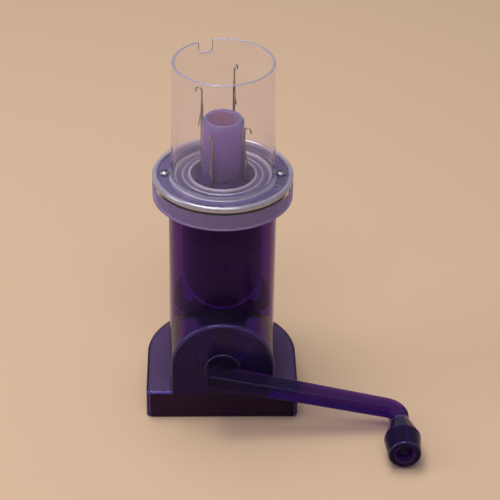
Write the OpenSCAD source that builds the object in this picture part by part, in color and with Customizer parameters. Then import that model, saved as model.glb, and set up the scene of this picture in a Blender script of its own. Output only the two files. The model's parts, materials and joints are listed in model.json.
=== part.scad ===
// Hand-cranked cord knitting mill: a purple moulded body on a foot, a clear yarn cup,
// and inside them a needle cylinder with latch needles, a cam track and a crown gear drive.
// Origin: axis of the needle cylinder at table level. +Z up, the crank faces -Y.

/* [Body] */
// Outer radius of the body tube
tube_r = 27.5; // [27:0.5:30]
// Wall of the body tube
tube_wall = 2.2; // [1.6:0.2:2.6]
// Height of the moulded body, table to top of its flange
body_h = 121.3; // [110:0.1:135]
// How far the flange on top of the body stands out of the tube
flange_out = 5.9; // [5.6:0.1:8]
// Thickness of that flange
flange_t = 4; // [3:0.5:6]

/* [Foot] */
// Half width of the foot, also the radius of its round back
foot_half_w = 39.4; // [38:0.2:45]
// Distance from the tube axis forward to the front wall of the foot
foot_front = 41.7; // [40:0.1:46]
// Distance from the tube axis forward to the centre of the round back
foot_arc_y = 5.3; // [3:0.1:7]
// Height of the foot
foot_h = 16.3; // [14:0.1:20]
// Skirt wall of the foot
foot_wall = 1.8; // [1.4:0.1:2.4]
// Top wall of the foot
foot_top = 2; // [1.5:0.1:3]
// Radius of the two upright front corners
foot_corner_r = 3; // [2.5:0.5:5]
// Radius of the top edge of the foot
foot_edge_r = 0.9; // [0.5:0.1:1.3]
// Distance of the two stiffening ribs forward of the tube axis
rib_y = 2.5; // [0:0.5:6]
// Thickness of those ribs
rib_t = 1.2; // [1:0.1:1.6]

/* [Gear arch] */
// Radius of the half-round gear housing at the front
arch_r = 26.8; // [25:0.1:27]
// Side wall of the gear housing
arch_wall = 3; // [2:0.1:3.5]
// Front wall of the gear housing
arch_face = 2.2; // [1.8:0.1:3]
// Radius of the front edge of the gear housing
arch_edge_r = 1.7; // [1:0.1:2.2]
// Height of the crank axis
crank_z = 31.8; // [30:0.1:34]
// Radius of the round boss around the crank spindle
boss_r = 9.3; // [8:0.1:11]
// How far that boss stands out of the front wall
boss_out = 1.4; // [1:0.1:3]
// Radius of the long bearing tube behind the boss
bearing_r = 7.6; // [7:0.1:9]

/* [Crank] */
// Distance from the crank axis to the knob axis
arm_len = 93.6; // [80:0.1:100]
// Height of the arm's section
arm_h = 7.2; // [5.5:0.1:8]
// Depth of the arm at its hub, front to back
arm_hub_d = 12.2; // [11:0.1:14]
// Depth of the arm at its elbow and of its leg
arm_tip_d = 9.2; // [8:0.1:10]
// Length of the arm past the crank axis
arm_tail = 7.2; // [6:0.1:9]
// Outer radius of the elbow
elbow_r = 10.3; // [9.5:0.1:13]
// Radius of the arm's rounded back edges
arm_back_r = 2.2; // [1:0.1:2.6]
// Radius of the arm's rounded corner behind its hub
arm_corner_r = 5.5; // [3:0.1:7]
// Straight length of the leg past the elbow
leg_len = 5.2; // [3:0.1:10]
// Radius of the spindle that turns in the bearing tube
spindle_r = 5; // [4.4:0.1:5.4]
// Radius of the spindle's end inside the pinion
spindle_end_r = 3.4; // [3:0.1:3.8]

/* [Knob] */
// Largest radius of the knob
knob_r = 9.4; // [8.8:0.1:11]
// Radius of the knob where it meets the leg
knob_neck_r = 5.3; // [5:0.1:7]
// Radius of the knob's outer end
knob_end_r = 8.2; // [7.5:0.1:8.7]
// Length from the neck to the widest place
knob_rear_len = 13; // [9:0.5:16]
// Length from the widest place to the outer end
knob_front_len = 12.5; // [8:0.5:16]
// Radius of the recess in the outer end
knob_recess_r = 4.9; // [4.6:0.1:5.5]
// Depth of that recess
knob_recess_d = 5; // [4:0.5:7]
// Radius of the round at the knob's outer end
knob_edge_r = 0.8; // [0.4:0.1:1.2]
// Radius of the peg the knob turns on
peg_r = 2.5; // [2.2:0.1:2.8]
// How far the peg's snap head stands out around it
peg_snap = 0.7; // [0.5:0.1:0.9]
// Width of the split in the peg
peg_split = 1; // [0.8:0.1:1.4]

/* [Gears] */
// Tooth module of pinion and crown gear
gear_module = 1.5; // [1.4:0.05:1.55]
// Teeth on the pinion
pinion_teeth = 20; // [18:1:20]
// Teeth on the crown gear
crown_teeth = 24; // [23:1:25]
// Width of the teeth
face_w = 4; // [3:0.25:4.25]
// Play between the tooth flanks
backlash = 0.8; // [0.75:0.05:1]
// Thickness of the crown gear's disc
crown_t = 2.4; // [2:0.1:2.8]
// Width of the crown gear's rim outside its teeth
crown_rim = 0.4; // [0.2:0.1:0.8]
// Radius of the pinion's hub
pinion_hub_r = 6; // [5:0.1:7]
// Depth of the recess around that hub
pinion_recess_d = 1.2; // [0.6:0.1:1.6]
// Radius of the crown gear's screws
crown_shank_r = 0.8; // [0.7:0.1:0.8]
// Radius of their heads
crown_head_r = 1.7; // [1.5:0.1:1.7]
// Height of their heads
crown_head_h = 1.4; // [1.2:0.1:1.5]
// Their length under the head
crown_screw_len = 8; // [7:0.5:10]

/* [Needle cylinder] */
// Radius of the bore that the finished cord falls through
cord_bore_r = 7.6; // [7:0.1:7.8]
// Radius of the cylinder's lower spigot
spigot_r = 9.8; // [9.5:0.1:9.9]
// Radius of the slotted drum
drum_r = 13.8; // [13.4:0.1:14.2]
// Radius of the neck that shows in the cup
neck_r = 10.9; // [10.5:0.1:11]
// How far the drum stands above the top of the body
drum_rise = 1; // [0.5:0.1:1.7]
// Height of the neck above the drum
neck_len = 32.7; // [26:0.1:36]
// Radius of the round between drum and neck
neck_fillet = 2.6; // [1.5:0.1:2.8]
// Height of the bevels at the neck's mouth
mouth_h = 1; // [0.5:0.1:1.5]
// Depth of the outer bevel at the mouth
mouth_out = 0.7; // [0.3:0.1:1]
// Depth of the inner bevel at the mouth
mouth_in = 0.4; // [0.2:0.1:0.6]
// Width of the four needle slots
slot_w = 1.9; // [1.7:0.1:2.2]
// Angle of the first needle from +X
needle_turn = -27.5; // [-40:0.5:-15]

/* [Needles] */
// Height of the lowest needle's hook above the top of the body
hook_rise = 30.6; // [29:0.1:34]
// Tangential width of the stem
stem_w = 1.3; // [1.1:0.1:1.4]
// Radial thickness of the stem
stem_t = 1.4; // [1.2:0.1:1.5]
// Height of the butt
butt_h = 2.2; // [1.8:0.1:2.6]
// Distance of the butt's end from the cylinder axis
butt_reach = 16.3; // [16:0.1:16.3]
// Wire diameter of the hook
hook_wire = 1; // [0.8:0.1:1.1]
// Centre line radius of the hook's bend
hook_bend_r = 1.7; // [1.4:0.1:1.9]
// Distance from the top of the hook down to the latch pivot
latch_drop = 11.7; // [11:0.1:13]
// Length of the latch
latch_len = 11; // [9:0.1:11.2]
// Angle between the open latch and the stem
latch_open = 10; // [8:1:14]
// Radius of the latch rivet
rivet_r = 0.3; // [0.25:0.05:0.35]
// Width of the latch
leaf_w = 0.5; // [0.4:0.05:0.55]
// Depth of the latch
leaf_d = 0.7; // [0.6:0.05:0.8]
// Radius of the latch's eye and of its spoon
eye_r = 0.7; // [0.6:0.05:0.75]
// Length of the latch's slot in the stem below the pivot
latch_slot_down = 6.6; // [6:0.1:7]
// Length of that slot above the pivot
latch_slot_up = 2.6; // [2.5:0.1:3]

/* [Cam track] */
// Wall of the two cam sleeves
cam_wall = 4; // [3:0.5:4.2]
// Rise of the lower cam at the back
cam_rise = 27; // [26.5:0.5:28]
// Height at which the slope of the lower cam crosses the axis
cam_mid_rise = 9.3; // [8:0.1:9.5]
// Thickness of the lower cam's flange
cam_flange_t = 1.2; // [1:0.1:1.2]
// Thickness of the upper cam's cap
cam_cap_t = 2; // [1.5:0.1:2.5]
// How far that cap reaches into the body's wall
cam_cap_in = 1.5; // [1:0.1:1.8]
// Room for the butts between the two slopes, over their height
butt_play = 0.7; // [0.6:0.1:1]
// Thickness of the ledge in the body that carries the lower cam
ledge_t = 1.5; // [1.2:0.1:2]
// Gap between the crown gear and that ledge
ledge_gap = 2.2; // [1.5:0.1:2.4]
// Lift of each needle at rest, in the order right, back, left, front
needle_lift = [1.4, 26.4, 17.3, 0];

/* [Base plate] */
// Thickness of the base plate
plate_t = 3; // [2.6:0.1:4]
// Radius of the cord's exit hole
exit_r = 8; // [7.9:0.1:9]
// Height of the collar that holds the spigot
collar_top = 14; // [10:0.5:15]
// Wall of that collar
collar_wall = 3; // [2:0.5:4]

/* [Yarn cup] */
// Height of the cup's rim above the top of the body
cup_h = 64.95; // [62:0.05:74]
// How much the cup's radius shrinks from its foot to its rim
cup_taper = 1.1; // [0:0.1:1.6]
// Wall of the cup
cup_wall = 1.5; // [1.2:0.1:1.6]
// Wall of the skirt
skirt_wall = 2; // [1.6:0.1:3]
// Length of the skirt below the top of the body
skirt_drop = 10; // [6:0.5:14]
// Thickness of the cup's floor and ring
cup_floor_t = 1.5; // [1.2:0.1:2]
// Radius of the hole in the cup's floor
cup_hole_r = 16.1; // [15.5:0.1:16.5]
// Radius of the round bead on the ring's edge
bead_r = 1.35; // [1:0.05:1.5]
// Radius of the round lip of the floor's hole
lip_r = 0.7; // [0.5:0.1:0.9]
// Height of that lip's centre above the floor
lip_rise = 0.3; // [0.1:0.1:0.6]
// Radius of the low ring on the floor
floor_ring_r = 20.2; // [19:0.1:21]
// Height of the low ring on the floor
floor_ring_h = 0.4; // [0.3:0.1:0.6]
// Radius of the thick foot of the cup's wall
cup_foot_round = 0.7; // [0.5:0.1:0.7]
// Width of the yarn notch in the rim
notch_w = 7.4; // [5.5:0.1:9]
// Depth of the yarn notch
notch_d = 7.2; // [5:0.1:10]
// Radius of the notch's two lower corners
notch_corner_r = 2.5; // [1:0.1:2.7]
// Angle of the yarn notch from +X
notch_angle = 111; // [90:1:130]

/* [Screws] */
// How far the cup screws stand outside the body tube
cup_screw_out = 1.8; // [1.7:0.1:2.2]
// Radius of every screw's shank
shank_r = 1.4; // [1.2:0.1:1.5]
// Radius of every pan head
head_r = 2.6; // [2.4:0.1:2.6]
// Height of every pan head
head_h = 1.9; // [1.6:0.1:2]
// Length of the cup and base screws under the head
screw_len = 10; // [8:0.5:11]
// Length of the pinion's screw under the head
pinion_screw_len = 7; // [6:0.5:8]
// Thickness of the pinion's washer
washer_t = 0.8; // [0.6:0.1:1]
// Radius of the pinion's washer
washer_r = 4.6; // [4.2:0.1:5]
// Radius of the posts that the screws bite into
post_r = 3.2; // [3:0.1:3.3]
// How far the cup screws' posts hang below the flange
post_drop = 4; // [3:0.5:6]
// Distance of the front base screws in from the foot's sides
front_screw_in = 10; // [9:0.1:12]
// Distance of the front base screws back from the foot's front
front_screw_back = 16.2; // [12:0.1:18]
// Distance of the rear base screws in from the foot's round back
rear_screw_in = 6.2; // [6:0.1:7]
// Angle of the rear base screws from sideways, around the centre of that round
rear_screw_angle = 40; // [30:1:45]

/* [Hidden] */
$fn = 96;

purple = [0.27, 0.13, 0.42];
violet = [0.45, 0.33, 0.62];
clear = [0.86, 0.84, 0.9, 0.45];
steel = [0.72, 0.73, 0.76];

// clearances
run_gap = 0.06;     // between a turning shaft and its bore
seat_gap = 0.2;     // between a pressed or dropped-in piece and its pocket
rest_gap = 0.3;     // between a moving piece and the face it runs past
eps = 0.05;         // short overrun of a cut
over = 1;           // long overrun of a cut
bite = 0.5;         // how far joined forms reach into each other

// body
tube_in_r = tube_r - tube_wall;
flange_z = body_h - flange_t;
flange_r = tube_r + flange_out;
foot_in_z = foot_h - foot_top;
arch_in_r = arch_r - arch_wall;
arch_in_y = foot_front - arch_face;

// gears: the crown gear's teeth hang down onto the top of the pinion
pitch_r = gear_module * pinion_teeth / 2;
crown_mid_r = gear_module * crown_teeth / 2;
addendum = gear_module;
dedendum = 1.2 * gear_module;
crown_pitch_z = crank_z + pitch_r;
crown_root_z = crown_pitch_z + dedendum;
crown_top_z = crown_root_z + crown_t;
crown_out_r = crown_mid_r + face_w / 2 + crown_rim;
pinion_front_y = crown_mid_r + face_w / 2;
pinion_back_y = crown_mid_r - face_w / 2;
pinion_root_r = pitch_r - dedendum;
pinion_web_r = pinion_root_r - 2 * pinion_recess_d;
crown_screw_r = (spigot_r + drum_r) / 2 + eps;

// cams
cam_in_r = butt_reach + rest_gap;
cam_out_r = cam_in_r + cam_wall;
cam_mid_r = (cam_in_r + cam_out_r) / 2;
cam_floor_z = crown_top_z + rest_gap;
cam_dwell_z = cam_floor_z + cam_flange_t;
lower_slope = (cam_rise - cam_mid_rise) / cam_mid_r;
guard_lift = butt_h + butt_play;
guard_mid_rise = (cam_rise + butt_play) / 2;
guard_slope = guard_mid_rise / cam_mid_r;
ledge_in_r = crown_out_r + ledge_gap;
cam_cap_r = tube_in_r + cam_cap_in;
butt_z = cam_dwell_z + seat_gap;

// needle cylinder and needles
drum_top = body_h + drum_rise;
neck_top = drum_top + neck_len;
bevel_z = neck_top - mouth_h;
slot_in_r = neck_r + rest_gap - seat_gap;
slot_top = neck_top - 3 * mouth_h;
stem_in_r = neck_r + rest_gap;
stem_mid_r = stem_in_r + stem_t / 2;
needle_top = body_h + hook_rise;
pivot_r = stem_mid_r + seat_gap / 2;
pivot_z = needle_top - latch_drop;
bend_z = needle_top - hook_wire / 2 - hook_bend_r;
latch_slot_w = leaf_w + seat_gap;
stem_top = pivot_z + latch_slot_up + 2 * rest_gap;

// base plate
plate_gap = foot_wall + seat_gap;
spigot_z = plate_t + rest_gap;
base_seat_z = head_h + rest_gap;
rear_screw_at = polar(foot_half_w - rear_screw_in, rear_screw_angle);
rib_z = plate_t + collar_wall;

// crank: the knob lies just clear of the table, and that sets the arm's slope
arm_drop = asin((crank_z - knob_r - rest_gap) / arm_len);
boss_y = foot_front + boss_out;
arm_back_y = boss_y + rest_gap;
elbow_x = arm_len - elbow_r + arm_tip_d / 2;
elbow_y = arm_back_y + elbow_r;
leg_end_y = elbow_y + leg_len;
knob_y = leg_end_y + rest_gap;
knob_len = knob_rear_len + knob_front_len;
knob_seat_y = knob_y + knob_len - knob_recess_d;
knob_collar = 2 * knob_edge_r;
snap_y = knob_seat_y + rest_gap;
snap_len = knob_recess_d / 2 - 2 * rest_gap;
flat_x = spindle_end_r - 3 * rest_gap;

// yarn cup
skirt_in_r = flange_r + rest_gap;
skirt_r = skirt_in_r + skirt_wall;
cup_screw_r = tube_r + cup_screw_out;
cup_foot_r = cup_screw_r - head_r - rest_gap;
cup_rim_r = cup_foot_r - cup_taper;
skirt_z = body_h - skirt_drop;
floor_z = body_h + cup_floor_t;
cup_top = body_h + cup_h;
rim_z = cup_top - cup_wall / 2;
bead_z = floor_z + seat_gap;
pilot_r = shank_r + seat_gap / 2;

// ---- plain helpers ----

function polar(r, a) = [r * cos(a), r * sin(a)];

// lays a shape drawn around +Z along -Y through the crank axis
module on_crank_axis() translate([0, 0, crank_z]) rotate([90, 0, 0]) children();

// turns the crank from its level drawing position to its rest position
module at_crank_rest()
    translate([0, 0, crank_z]) rotate([0, arm_drop, 0]) translate([0, 0, -crank_z]) children();

module ring(r_out, r_in, z0, z1)
    translate([0, 0, z0])
        difference() {
            cylinder(r = r_out, h = z1 - z0);
            translate([0, 0, -eps]) cylinder(r = r_in, h = z1 - z0 + 2 * eps);
        }

module at_base_screws() {
    for (side = [-1, 1]) {
        translate([side * (foot_half_w - front_screw_in), front_screw_back - foot_front, 0]) children();
        translate([side * rear_screw_at[0], rear_screw_at[1] - foot_arc_y, 0]) children();
    }
}

module at_cup_screws()
    for (side = [-1, 1]) translate([side * cup_screw_r, 0, 0]) children();

// pan head screw with a cross recess, head up, seated at z = 0
module pan_screw(len, shank = shank_r, head = head_r, high = head_h) {
    dome = head * 1.6;
    cross_l = head * 1.1;
    cross_w = head * 0.22;
    cross_d = head * 0.4;
    difference() {
        union() {
            intersection() {
                cylinder(r = head, h = high);
                translate([0, 0, high - dome]) sphere(r = dome);
            }
            translate([0, 0, -len]) cylinder(r = shank, h = len + eps);
        }
        for (a = [0, 90])
            rotate([0, 0, a])
                translate([-cross_l / 2, -cross_w / 2, high - cross_d]) cube([cross_l, cross_w, head]);
    }
}

// ---- body ----

module foot_outline(inset = 0) {
    w = foot_half_w - inset;
    front = foot_front - inset;
    corner = foot_corner_r - inset;
    intersection() {
        translate([0, -foot_arc_y]) circle(r = w);
        translate([-w - over, -foot_arc_y]) square([2 * (w + over), 2 * w]);
    }
    translate([-w, -front + corner]) square([2 * w, front - corner - foot_arc_y + eps]);
    translate([-w + corner, -front]) square([2 * (w - corner), corner + eps]);
    for (side = [-1, 1]) translate([side * (w - corner), -front + corner]) circle(r = corner);
}

// the rounded top edge of the foot: bars and rings of one radius all round the outline
module foot_top_edge() {
    w = foot_half_w - foot_edge_r;
    front = foot_front - foot_edge_r;
    corner_x = foot_half_w - foot_corner_r;
    corner_y = foot_front - foot_corner_r;
    translate([0, -foot_arc_y, 0])
        intersection() {
            rotate_extrude() translate([w, 0]) circle(r = foot_edge_r, $fn = 32);
            translate([-2 * w, 0, -foot_h]) cube([4 * w, 2 * w, 2 * foot_h]);
        }
    for (side = [-1, 1]) {
        translate([side * w, -foot_arc_y, 0]) rotate([90, 0, 0])
            cylinder(r = foot_edge_r, h = corner_y - foot_arc_y, $fn = 32);
        translate([side * corner_x, -corner_y, 0])
            rotate_extrude() translate([foot_corner_r - foot_edge_r, 0]) circle(r = foot_edge_r, $fn = 32);
    }
    translate([-corner_x, -front, 0]) rotate([0, 90, 0])
        cylinder(r = foot_edge_r, h = 2 * corner_x, $fn = 32);
}

module foot_solid() {
    linear_extrude(foot_h - foot_edge_r) foot_outline();
    linear_extrude(foot_h) foot_outline(foot_edge_r);
    translate([0, 0, foot_h - foot_edge_r]) foot_top_edge();
}

// half-round top on upright sides, running forward from the tube axis
module arch_form(r, front, edge) {
    on_crank_axis()
        rotate_extrude() {
            square([r, front - edge]);
            square([r - edge, front]);
            translate([r - edge, front - edge])
                intersection() {
                    circle(r = edge, $fn = 48);
                    square(edge);
                }
        }
    linear_extrude(crank_z) {
        translate([-r, -front + edge]) square([2 * r, front - edge]);
        translate([-r + edge, -front]) square([2 * (r - edge), front]);
        for (side = [-1, 1]) translate([side * (r - edge), -front + edge]) circle(r = edge, $fn = 48);
    }
}

module housing() color(purple)
    difference() {
        union() {
            difference() {
                union() {
                    foot_solid();
                    arch_form(arch_r, foot_front, arch_edge_r);
                    cylinder(r = tube_r, h = body_h);
                    translate([0, 0, flange_z]) cylinder(r = flange_r, h = flange_t);
                    at_cup_screws() translate([0, 0, flange_z - post_drop])
                        cylinder(r = post_r, h = post_drop + bite);
                }
                translate([0, 0, -over]) cylinder(r = tube_in_r, h = body_h + 2 * over);
                translate([0, 0, -over]) linear_extrude(foot_in_z + over) foot_outline(foot_wall);
                arch_form(arch_in_r, arch_in_y, arch_edge_r);
                // seat of the upper cam's cap
                translate([0, 0, body_h - cam_cap_t]) cylinder(r = cam_cap_r + seat_gap, h = cam_cap_t + over);
            }
            // ledge that carries the lower cam
            ring(tube_in_r + bite, ledge_in_r, cam_floor_z - ledge_t, cam_floor_z);
            // bearing tube and outer boss of the crank spindle
            on_crank_axis() {
                translate([0, 0, pinion_front_y + rest_gap])
                    cylinder(r = bearing_r, h = foot_front - pinion_front_y - rest_gap);
                translate([0, 0, foot_front - arch_face / 2])
                    cylinder(r = boss_r, h = boss_out + arch_face / 2);
            }
            // posts and ribs inside the foot
            intersection() {
                union() {
                    at_base_screws() translate([0, 0, plate_t])
                        cylinder(r = post_r, h = foot_in_z - plate_t + bite);
                    translate([-foot_half_w, -rib_y - rib_t / 2, rib_z])
                        cube([2 * foot_half_w, rib_t, foot_in_z - rib_z + bite]);
                }
                difference() {
                    linear_extrude(foot_h - bite) foot_outline(bite);
                    translate([0, 0, -over]) cylinder(r = tube_in_r, h = foot_h + 2 * over);
                    translate([-arch_in_r, -arch_in_y, -over])
                        cube([2 * arch_in_r, arch_in_y, foot_h + 2 * over]);
                }
            }
        }
        on_crank_axis() translate([0, 0, pinion_back_y]) cylinder(r = spindle_r + run_gap, h = foot_front);
        at_base_screws() cylinder(r = pilot_r, h = base_seat_z + screw_len + over, $fn = 32);
        at_cup_screws() translate([0, 0, floor_z - screw_len - over])
            cylinder(r = pilot_r, h = screw_len + 2 * over, $fn = 32);
    }

// ---- cam track ----

// everything below a plane that falls towards the front: height z0 at the axis
module below_slope(z0, slope) {
    reach = 4 * cam_out_r;
    translate([0, 0, z0]) rotate([atan(slope), 0, 0])
        translate([-reach / 2, -reach / 2, -reach]) cube([reach, reach, reach]);
}

module cam_lower() color(violet) {
    ring(tube_in_r - run_gap, cam_in_r, cam_floor_z, cam_dwell_z);
    intersection() {
        ring(cam_out_r, cam_in_r, cam_floor_z, cam_dwell_z + cam_rise);
        below_slope(cam_dwell_z + cam_mid_rise, lower_slope);
    }
}

module cam_upper() color(violet)
    difference() {
        union() {
            ring(cam_out_r, cam_in_r, cam_dwell_z, body_h);
            ring(cam_cap_r, drum_r + run_gap, body_h - cam_cap_t, body_h);
            ring(cam_in_r + bite, drum_r + run_gap, flange_z, body_h);
        }
        below_slope(cam_dwell_z + guard_lift + guard_mid_rise, guard_slope);
    }

// ---- base plate ----

module base_plate() color(purple)
    difference() {
        union() {
            linear_extrude(plate_t) foot_outline(plate_gap);
            cylinder(r = spigot_r + run_gap + collar_wall, h = collar_top);
        }
        translate([0, 0, -over]) cylinder(r = exit_r, h = plate_t + 2 * over);
        translate([0, 0, plate_t]) cylinder(r = spigot_r + run_gap, h = collar_top);
        at_base_screws() {
            translate([0, 0, -over]) cylinder(r = pilot_r, h = plate_t + 2 * over, $fn = 32);
            translate([0, 0, -over]) cylinder(r = head_r + seat_gap, h = base_seat_z + over, $fn = 48);
        }
    }

module base_screws() color(steel)
    at_base_screws() translate([0, 0, base_seat_z]) mirror([0, 0, 1]) pan_screw(screw_len);

// ---- yarn cup ----

module cup_profile() {
    // cup wall with a round rim
    polygon([[cup_foot_r, body_h], [cup_rim_r, rim_z],
             [cup_rim_r - cup_wall, rim_z], [cup_foot_r - cup_wall, body_h]]);
    translate([cup_rim_r - cup_wall / 2, rim_z]) circle(r = cup_wall / 2, $fn = 32);
    // floor and ring
    translate([cup_hole_r, body_h]) square([skirt_r - bead_r - cup_hole_r, cup_floor_t]);
    // lip round the hole
    translate([cup_hole_r, body_h]) square([2 * lip_r, cup_floor_t + lip_rise]);
    translate([cup_hole_r + lip_r, floor_z + lip_rise]) circle(r = lip_r, $fn = 32);
    // low ring on the floor
    translate([floor_ring_r, floor_z]) circle(r = floor_ring_h, $fn = 24);
    // foot of the cup, inside and out
    translate([cup_foot_r - bite, floor_z]) circle(r = cup_foot_round, $fn = 32);
    translate([cup_foot_r - cup_wall, floor_z]) circle(r = cup_foot_round, $fn = 32);
    // skirt and bead
    translate([skirt_in_r, skirt_z]) square([skirt_r - skirt_in_r, bead_z - skirt_z]);
    translate([skirt_r - bead_r, bead_z]) circle(r = bead_r, $fn = 48);
}

// the yarn notch seen from outside, its foot at y = 0
module notch_outline() {
    r = notch_corner_r;
    for (side = [-1, 1]) translate([side * (notch_w / 2 - r), r]) circle(r = r, $fn = 48);
    translate([r - notch_w / 2, 0]) square([notch_w - 2 * r, notch_d + over]);
    translate([-notch_w / 2, r]) square([notch_w, notch_d]);
}

module clear_cover() color(clear)
    difference() {
        rotate_extrude() cup_profile();
        rotate([0, 0, notch_angle]) translate([cup_rim_r - 2 * cup_wall, 0, cup_top - notch_d])
            rotate([90, 0, 90]) linear_extrude(4 * cup_wall) notch_outline();
        at_cup_screws() translate([0, 0, body_h - over])
            cylinder(r = pilot_r, h = cup_floor_t + 2 * over, $fn = 32);
    }

module cover_screws() color(steel) at_cup_screws() translate([0, 0, floor_z]) pan_screw(screw_len);

// ---- crank ----

// the arm from above, its back edge drawn at y = -inset: tapered bar, elbow and leg
module arm_outline(inset = 0) {
    polygon([[-arm_tail, -inset], [elbow_x, -inset], [elbow_x, -arm_tip_d], [-arm_tail, -arm_hub_d]]);
    translate([elbow_x, -elbow_r])
        intersection() {
            difference() {
                circle(r = elbow_r - inset);
                circle(r = elbow_r - arm_tip_d);
            }
            square(elbow_r);
        }
    translate([elbow_x + elbow_r - arm_tip_d, -elbow_r - leg_len]) square([arm_tip_d - inset, leg_len]);
}

// rods of the back edges' radius along bar, elbow and leg
module arm_back_edge() {
    r = arm_back_r;
    translate([-arm_tail, -r, 0]) rotate([0, 90, 0]) cylinder(r = r, h = elbow_x + arm_tail, $fn = 48);
    translate([elbow_x, -elbow_r, 0])
        rotate_extrude(angle = 90) translate([elbow_r - r, 0]) circle(r = r, $fn = 48);
    translate([elbow_x + elbow_r - r, -elbow_r, 0]) rotate([90, 0, 0]) cylinder(r = r, h = leg_len, $fn = 48);
}

// what the rounded corner behind the hub takes away
module arm_corner_cut()
    difference() {
        translate([-arm_tail - over, -arm_corner_r]) square(arm_corner_r + over);
        translate([arm_corner_r - arm_tail, -arm_corner_r]) circle(r = arm_corner_r);
    }

module arm_body() {
    web_h = arm_h - 2 * arm_back_r;
    difference() {
        union() {
            translate([0, 0, -web_h / 2]) linear_extrude(web_h) arm_outline();
            translate([0, 0, -arm_h / 2]) linear_extrude(arm_h) arm_outline(arm_back_r);
            for (side = [-1, 1]) translate([0, 0, side * web_h / 2]) arm_back_edge();
        }
        translate([0, 0, -arm_h]) linear_extrude(2 * arm_h) arm_corner_cut();
    }
}

module crank_arm() color(purple)
    at_crank_rest() translate([0, 0, crank_z]) {
        translate([0, -arm_back_y, 0]) arm_body();
        // spindle, its flatted end and the pilot hole of the pinion screw
        rotate([90, 0, 0])
            difference() {
                union() {
                    translate([0, 0, pinion_front_y])
                        cylinder(r = spindle_r, h = arm_back_y - pinion_front_y + arm_back_r);
                    translate([0, 0, pinion_back_y]) cylinder(r = spindle_end_r, h = face_w + bite, $fn = 64);
                }
                translate([flat_x, -spindle_r, pinion_back_y - over])
                    cube([spindle_r, 2 * spindle_r, face_w + over]);
                translate([0, 0, pinion_back_y - over])
                    cylinder(r = pilot_r, h = pinion_screw_len + 2 * over, $fn = 32);
            }
        // peg with a split snap head for the knob
        translate([arm_len, 0, 0]) rotate([90, 0, 0])
            difference() {
                union() {
                    translate([0, 0, leg_end_y - over])
                        cylinder(r = peg_r, h = snap_y - leg_end_y + 2 * over, $fn = 64);
                    translate([0, 0, snap_y])
                        cylinder(r1 = peg_r + peg_snap, r2 = peg_r, h = snap_len, $fn = 64);
                }
                translate([-peg_split / 2, -2 * peg_r, snap_y - 2 * peg_r])
                    cube([peg_split, 4 * peg_r, knob_len]);
            }
    }

// one flank point of an involute tooth: its half angle at radius r
function involute_angle(r, base_r) =
    let (a = acos(min(1, base_r / r))) tan(a) * 180 / PI - a;
function tooth_half_angle(r) =
    let (base_r = pitch_r * cos(20))
    (90 - 180 / PI * backlash / (2 * gear_module)) / pinion_teeth
    + involute_angle(pitch_r, base_r) - involute_angle(max(r, base_r), base_r);

module pinion_outline() {
    steps = 5;
    radii = [for (i = [0:steps]) pinion_root_r + (pitch_r + addendum - pinion_root_r) * i / steps];
    polygon([for (k = [0:pinion_teeth - 1])
        let (mid = 90 + (k + 0.5) * 360 / pinion_teeth)
        each concat([for (r = radii) polar(r, mid - tooth_half_angle(r))],
                    [for (i = [0:steps]) polar(radii[steps - i], mid + tooth_half_angle(radii[steps - i]))])]);
}

module drive_pinion() color(violet)
    difference() {
        on_crank_axis() translate([0, 0, pinion_back_y]) linear_extrude(face_w) pinion_outline();
        // bore with a flat, turned with the arm
        at_crank_rest() on_crank_axis()
            difference() {
                translate([0, 0, pinion_back_y - over])
                    cylinder(r = spindle_end_r + run_gap, h = face_w + 2 * over, $fn = 64);
                translate([flat_x + run_gap, -spindle_r, pinion_back_y - 2 * over])
                    cube([spindle_r, 2 * spindle_r, face_w + 4 * over]);
            }
        // ring-shaped recess in the back face
        on_crank_axis() translate([0, 0, pinion_back_y - eps])
            ring(pinion_web_r, pinion_hub_r, 0, pinion_recess_d);
    }

module pinion_washer() color(steel)
    on_crank_axis() translate([0, 0, pinion_back_y - washer_t])
        difference() {
            cylinder(r = washer_r, h = washer_t);
            translate([0, 0, -over]) cylinder(r = pilot_r, h = washer_t + 2 * over, $fn = 32);
        }

module pinion_screw() color(steel)
    on_crank_axis() translate([0, 0, pinion_back_y - washer_t]) mirror([0, 0, 1]) pan_screw(pinion_screw_len);

module knob() color(purple)
    translate([0, 0, crank_z]) rotate([0, arm_drop, 0]) translate([arm_len, -knob_y, 0]) rotate([90, 0, 0])
        rotate_extrude()
            difference() {
                union() {
                    polygon([[0, 0], [knob_neck_r, 0], [knob_neck_r + knob_collar / 4, knob_collar],
                             [knob_r, knob_rear_len], [knob_end_r, knob_len - knob_edge_r],
                             [knob_end_r - knob_edge_r, knob_len], [0, knob_len]]);
                    translate([knob_end_r - knob_edge_r, knob_len - knob_edge_r])
                        circle(r = knob_edge_r, $fn = 32);
                }
                translate([-over, -over]) square([peg_r + run_gap + over, knob_len + 2 * over]);
                translate([-over, knob_len - knob_recess_d])
                    square([knob_recess_r + over, knob_recess_d + over]);
            }

// ---- needle cylinder ----

function needle_angle(i) = needle_turn + 90 * i;

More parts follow.
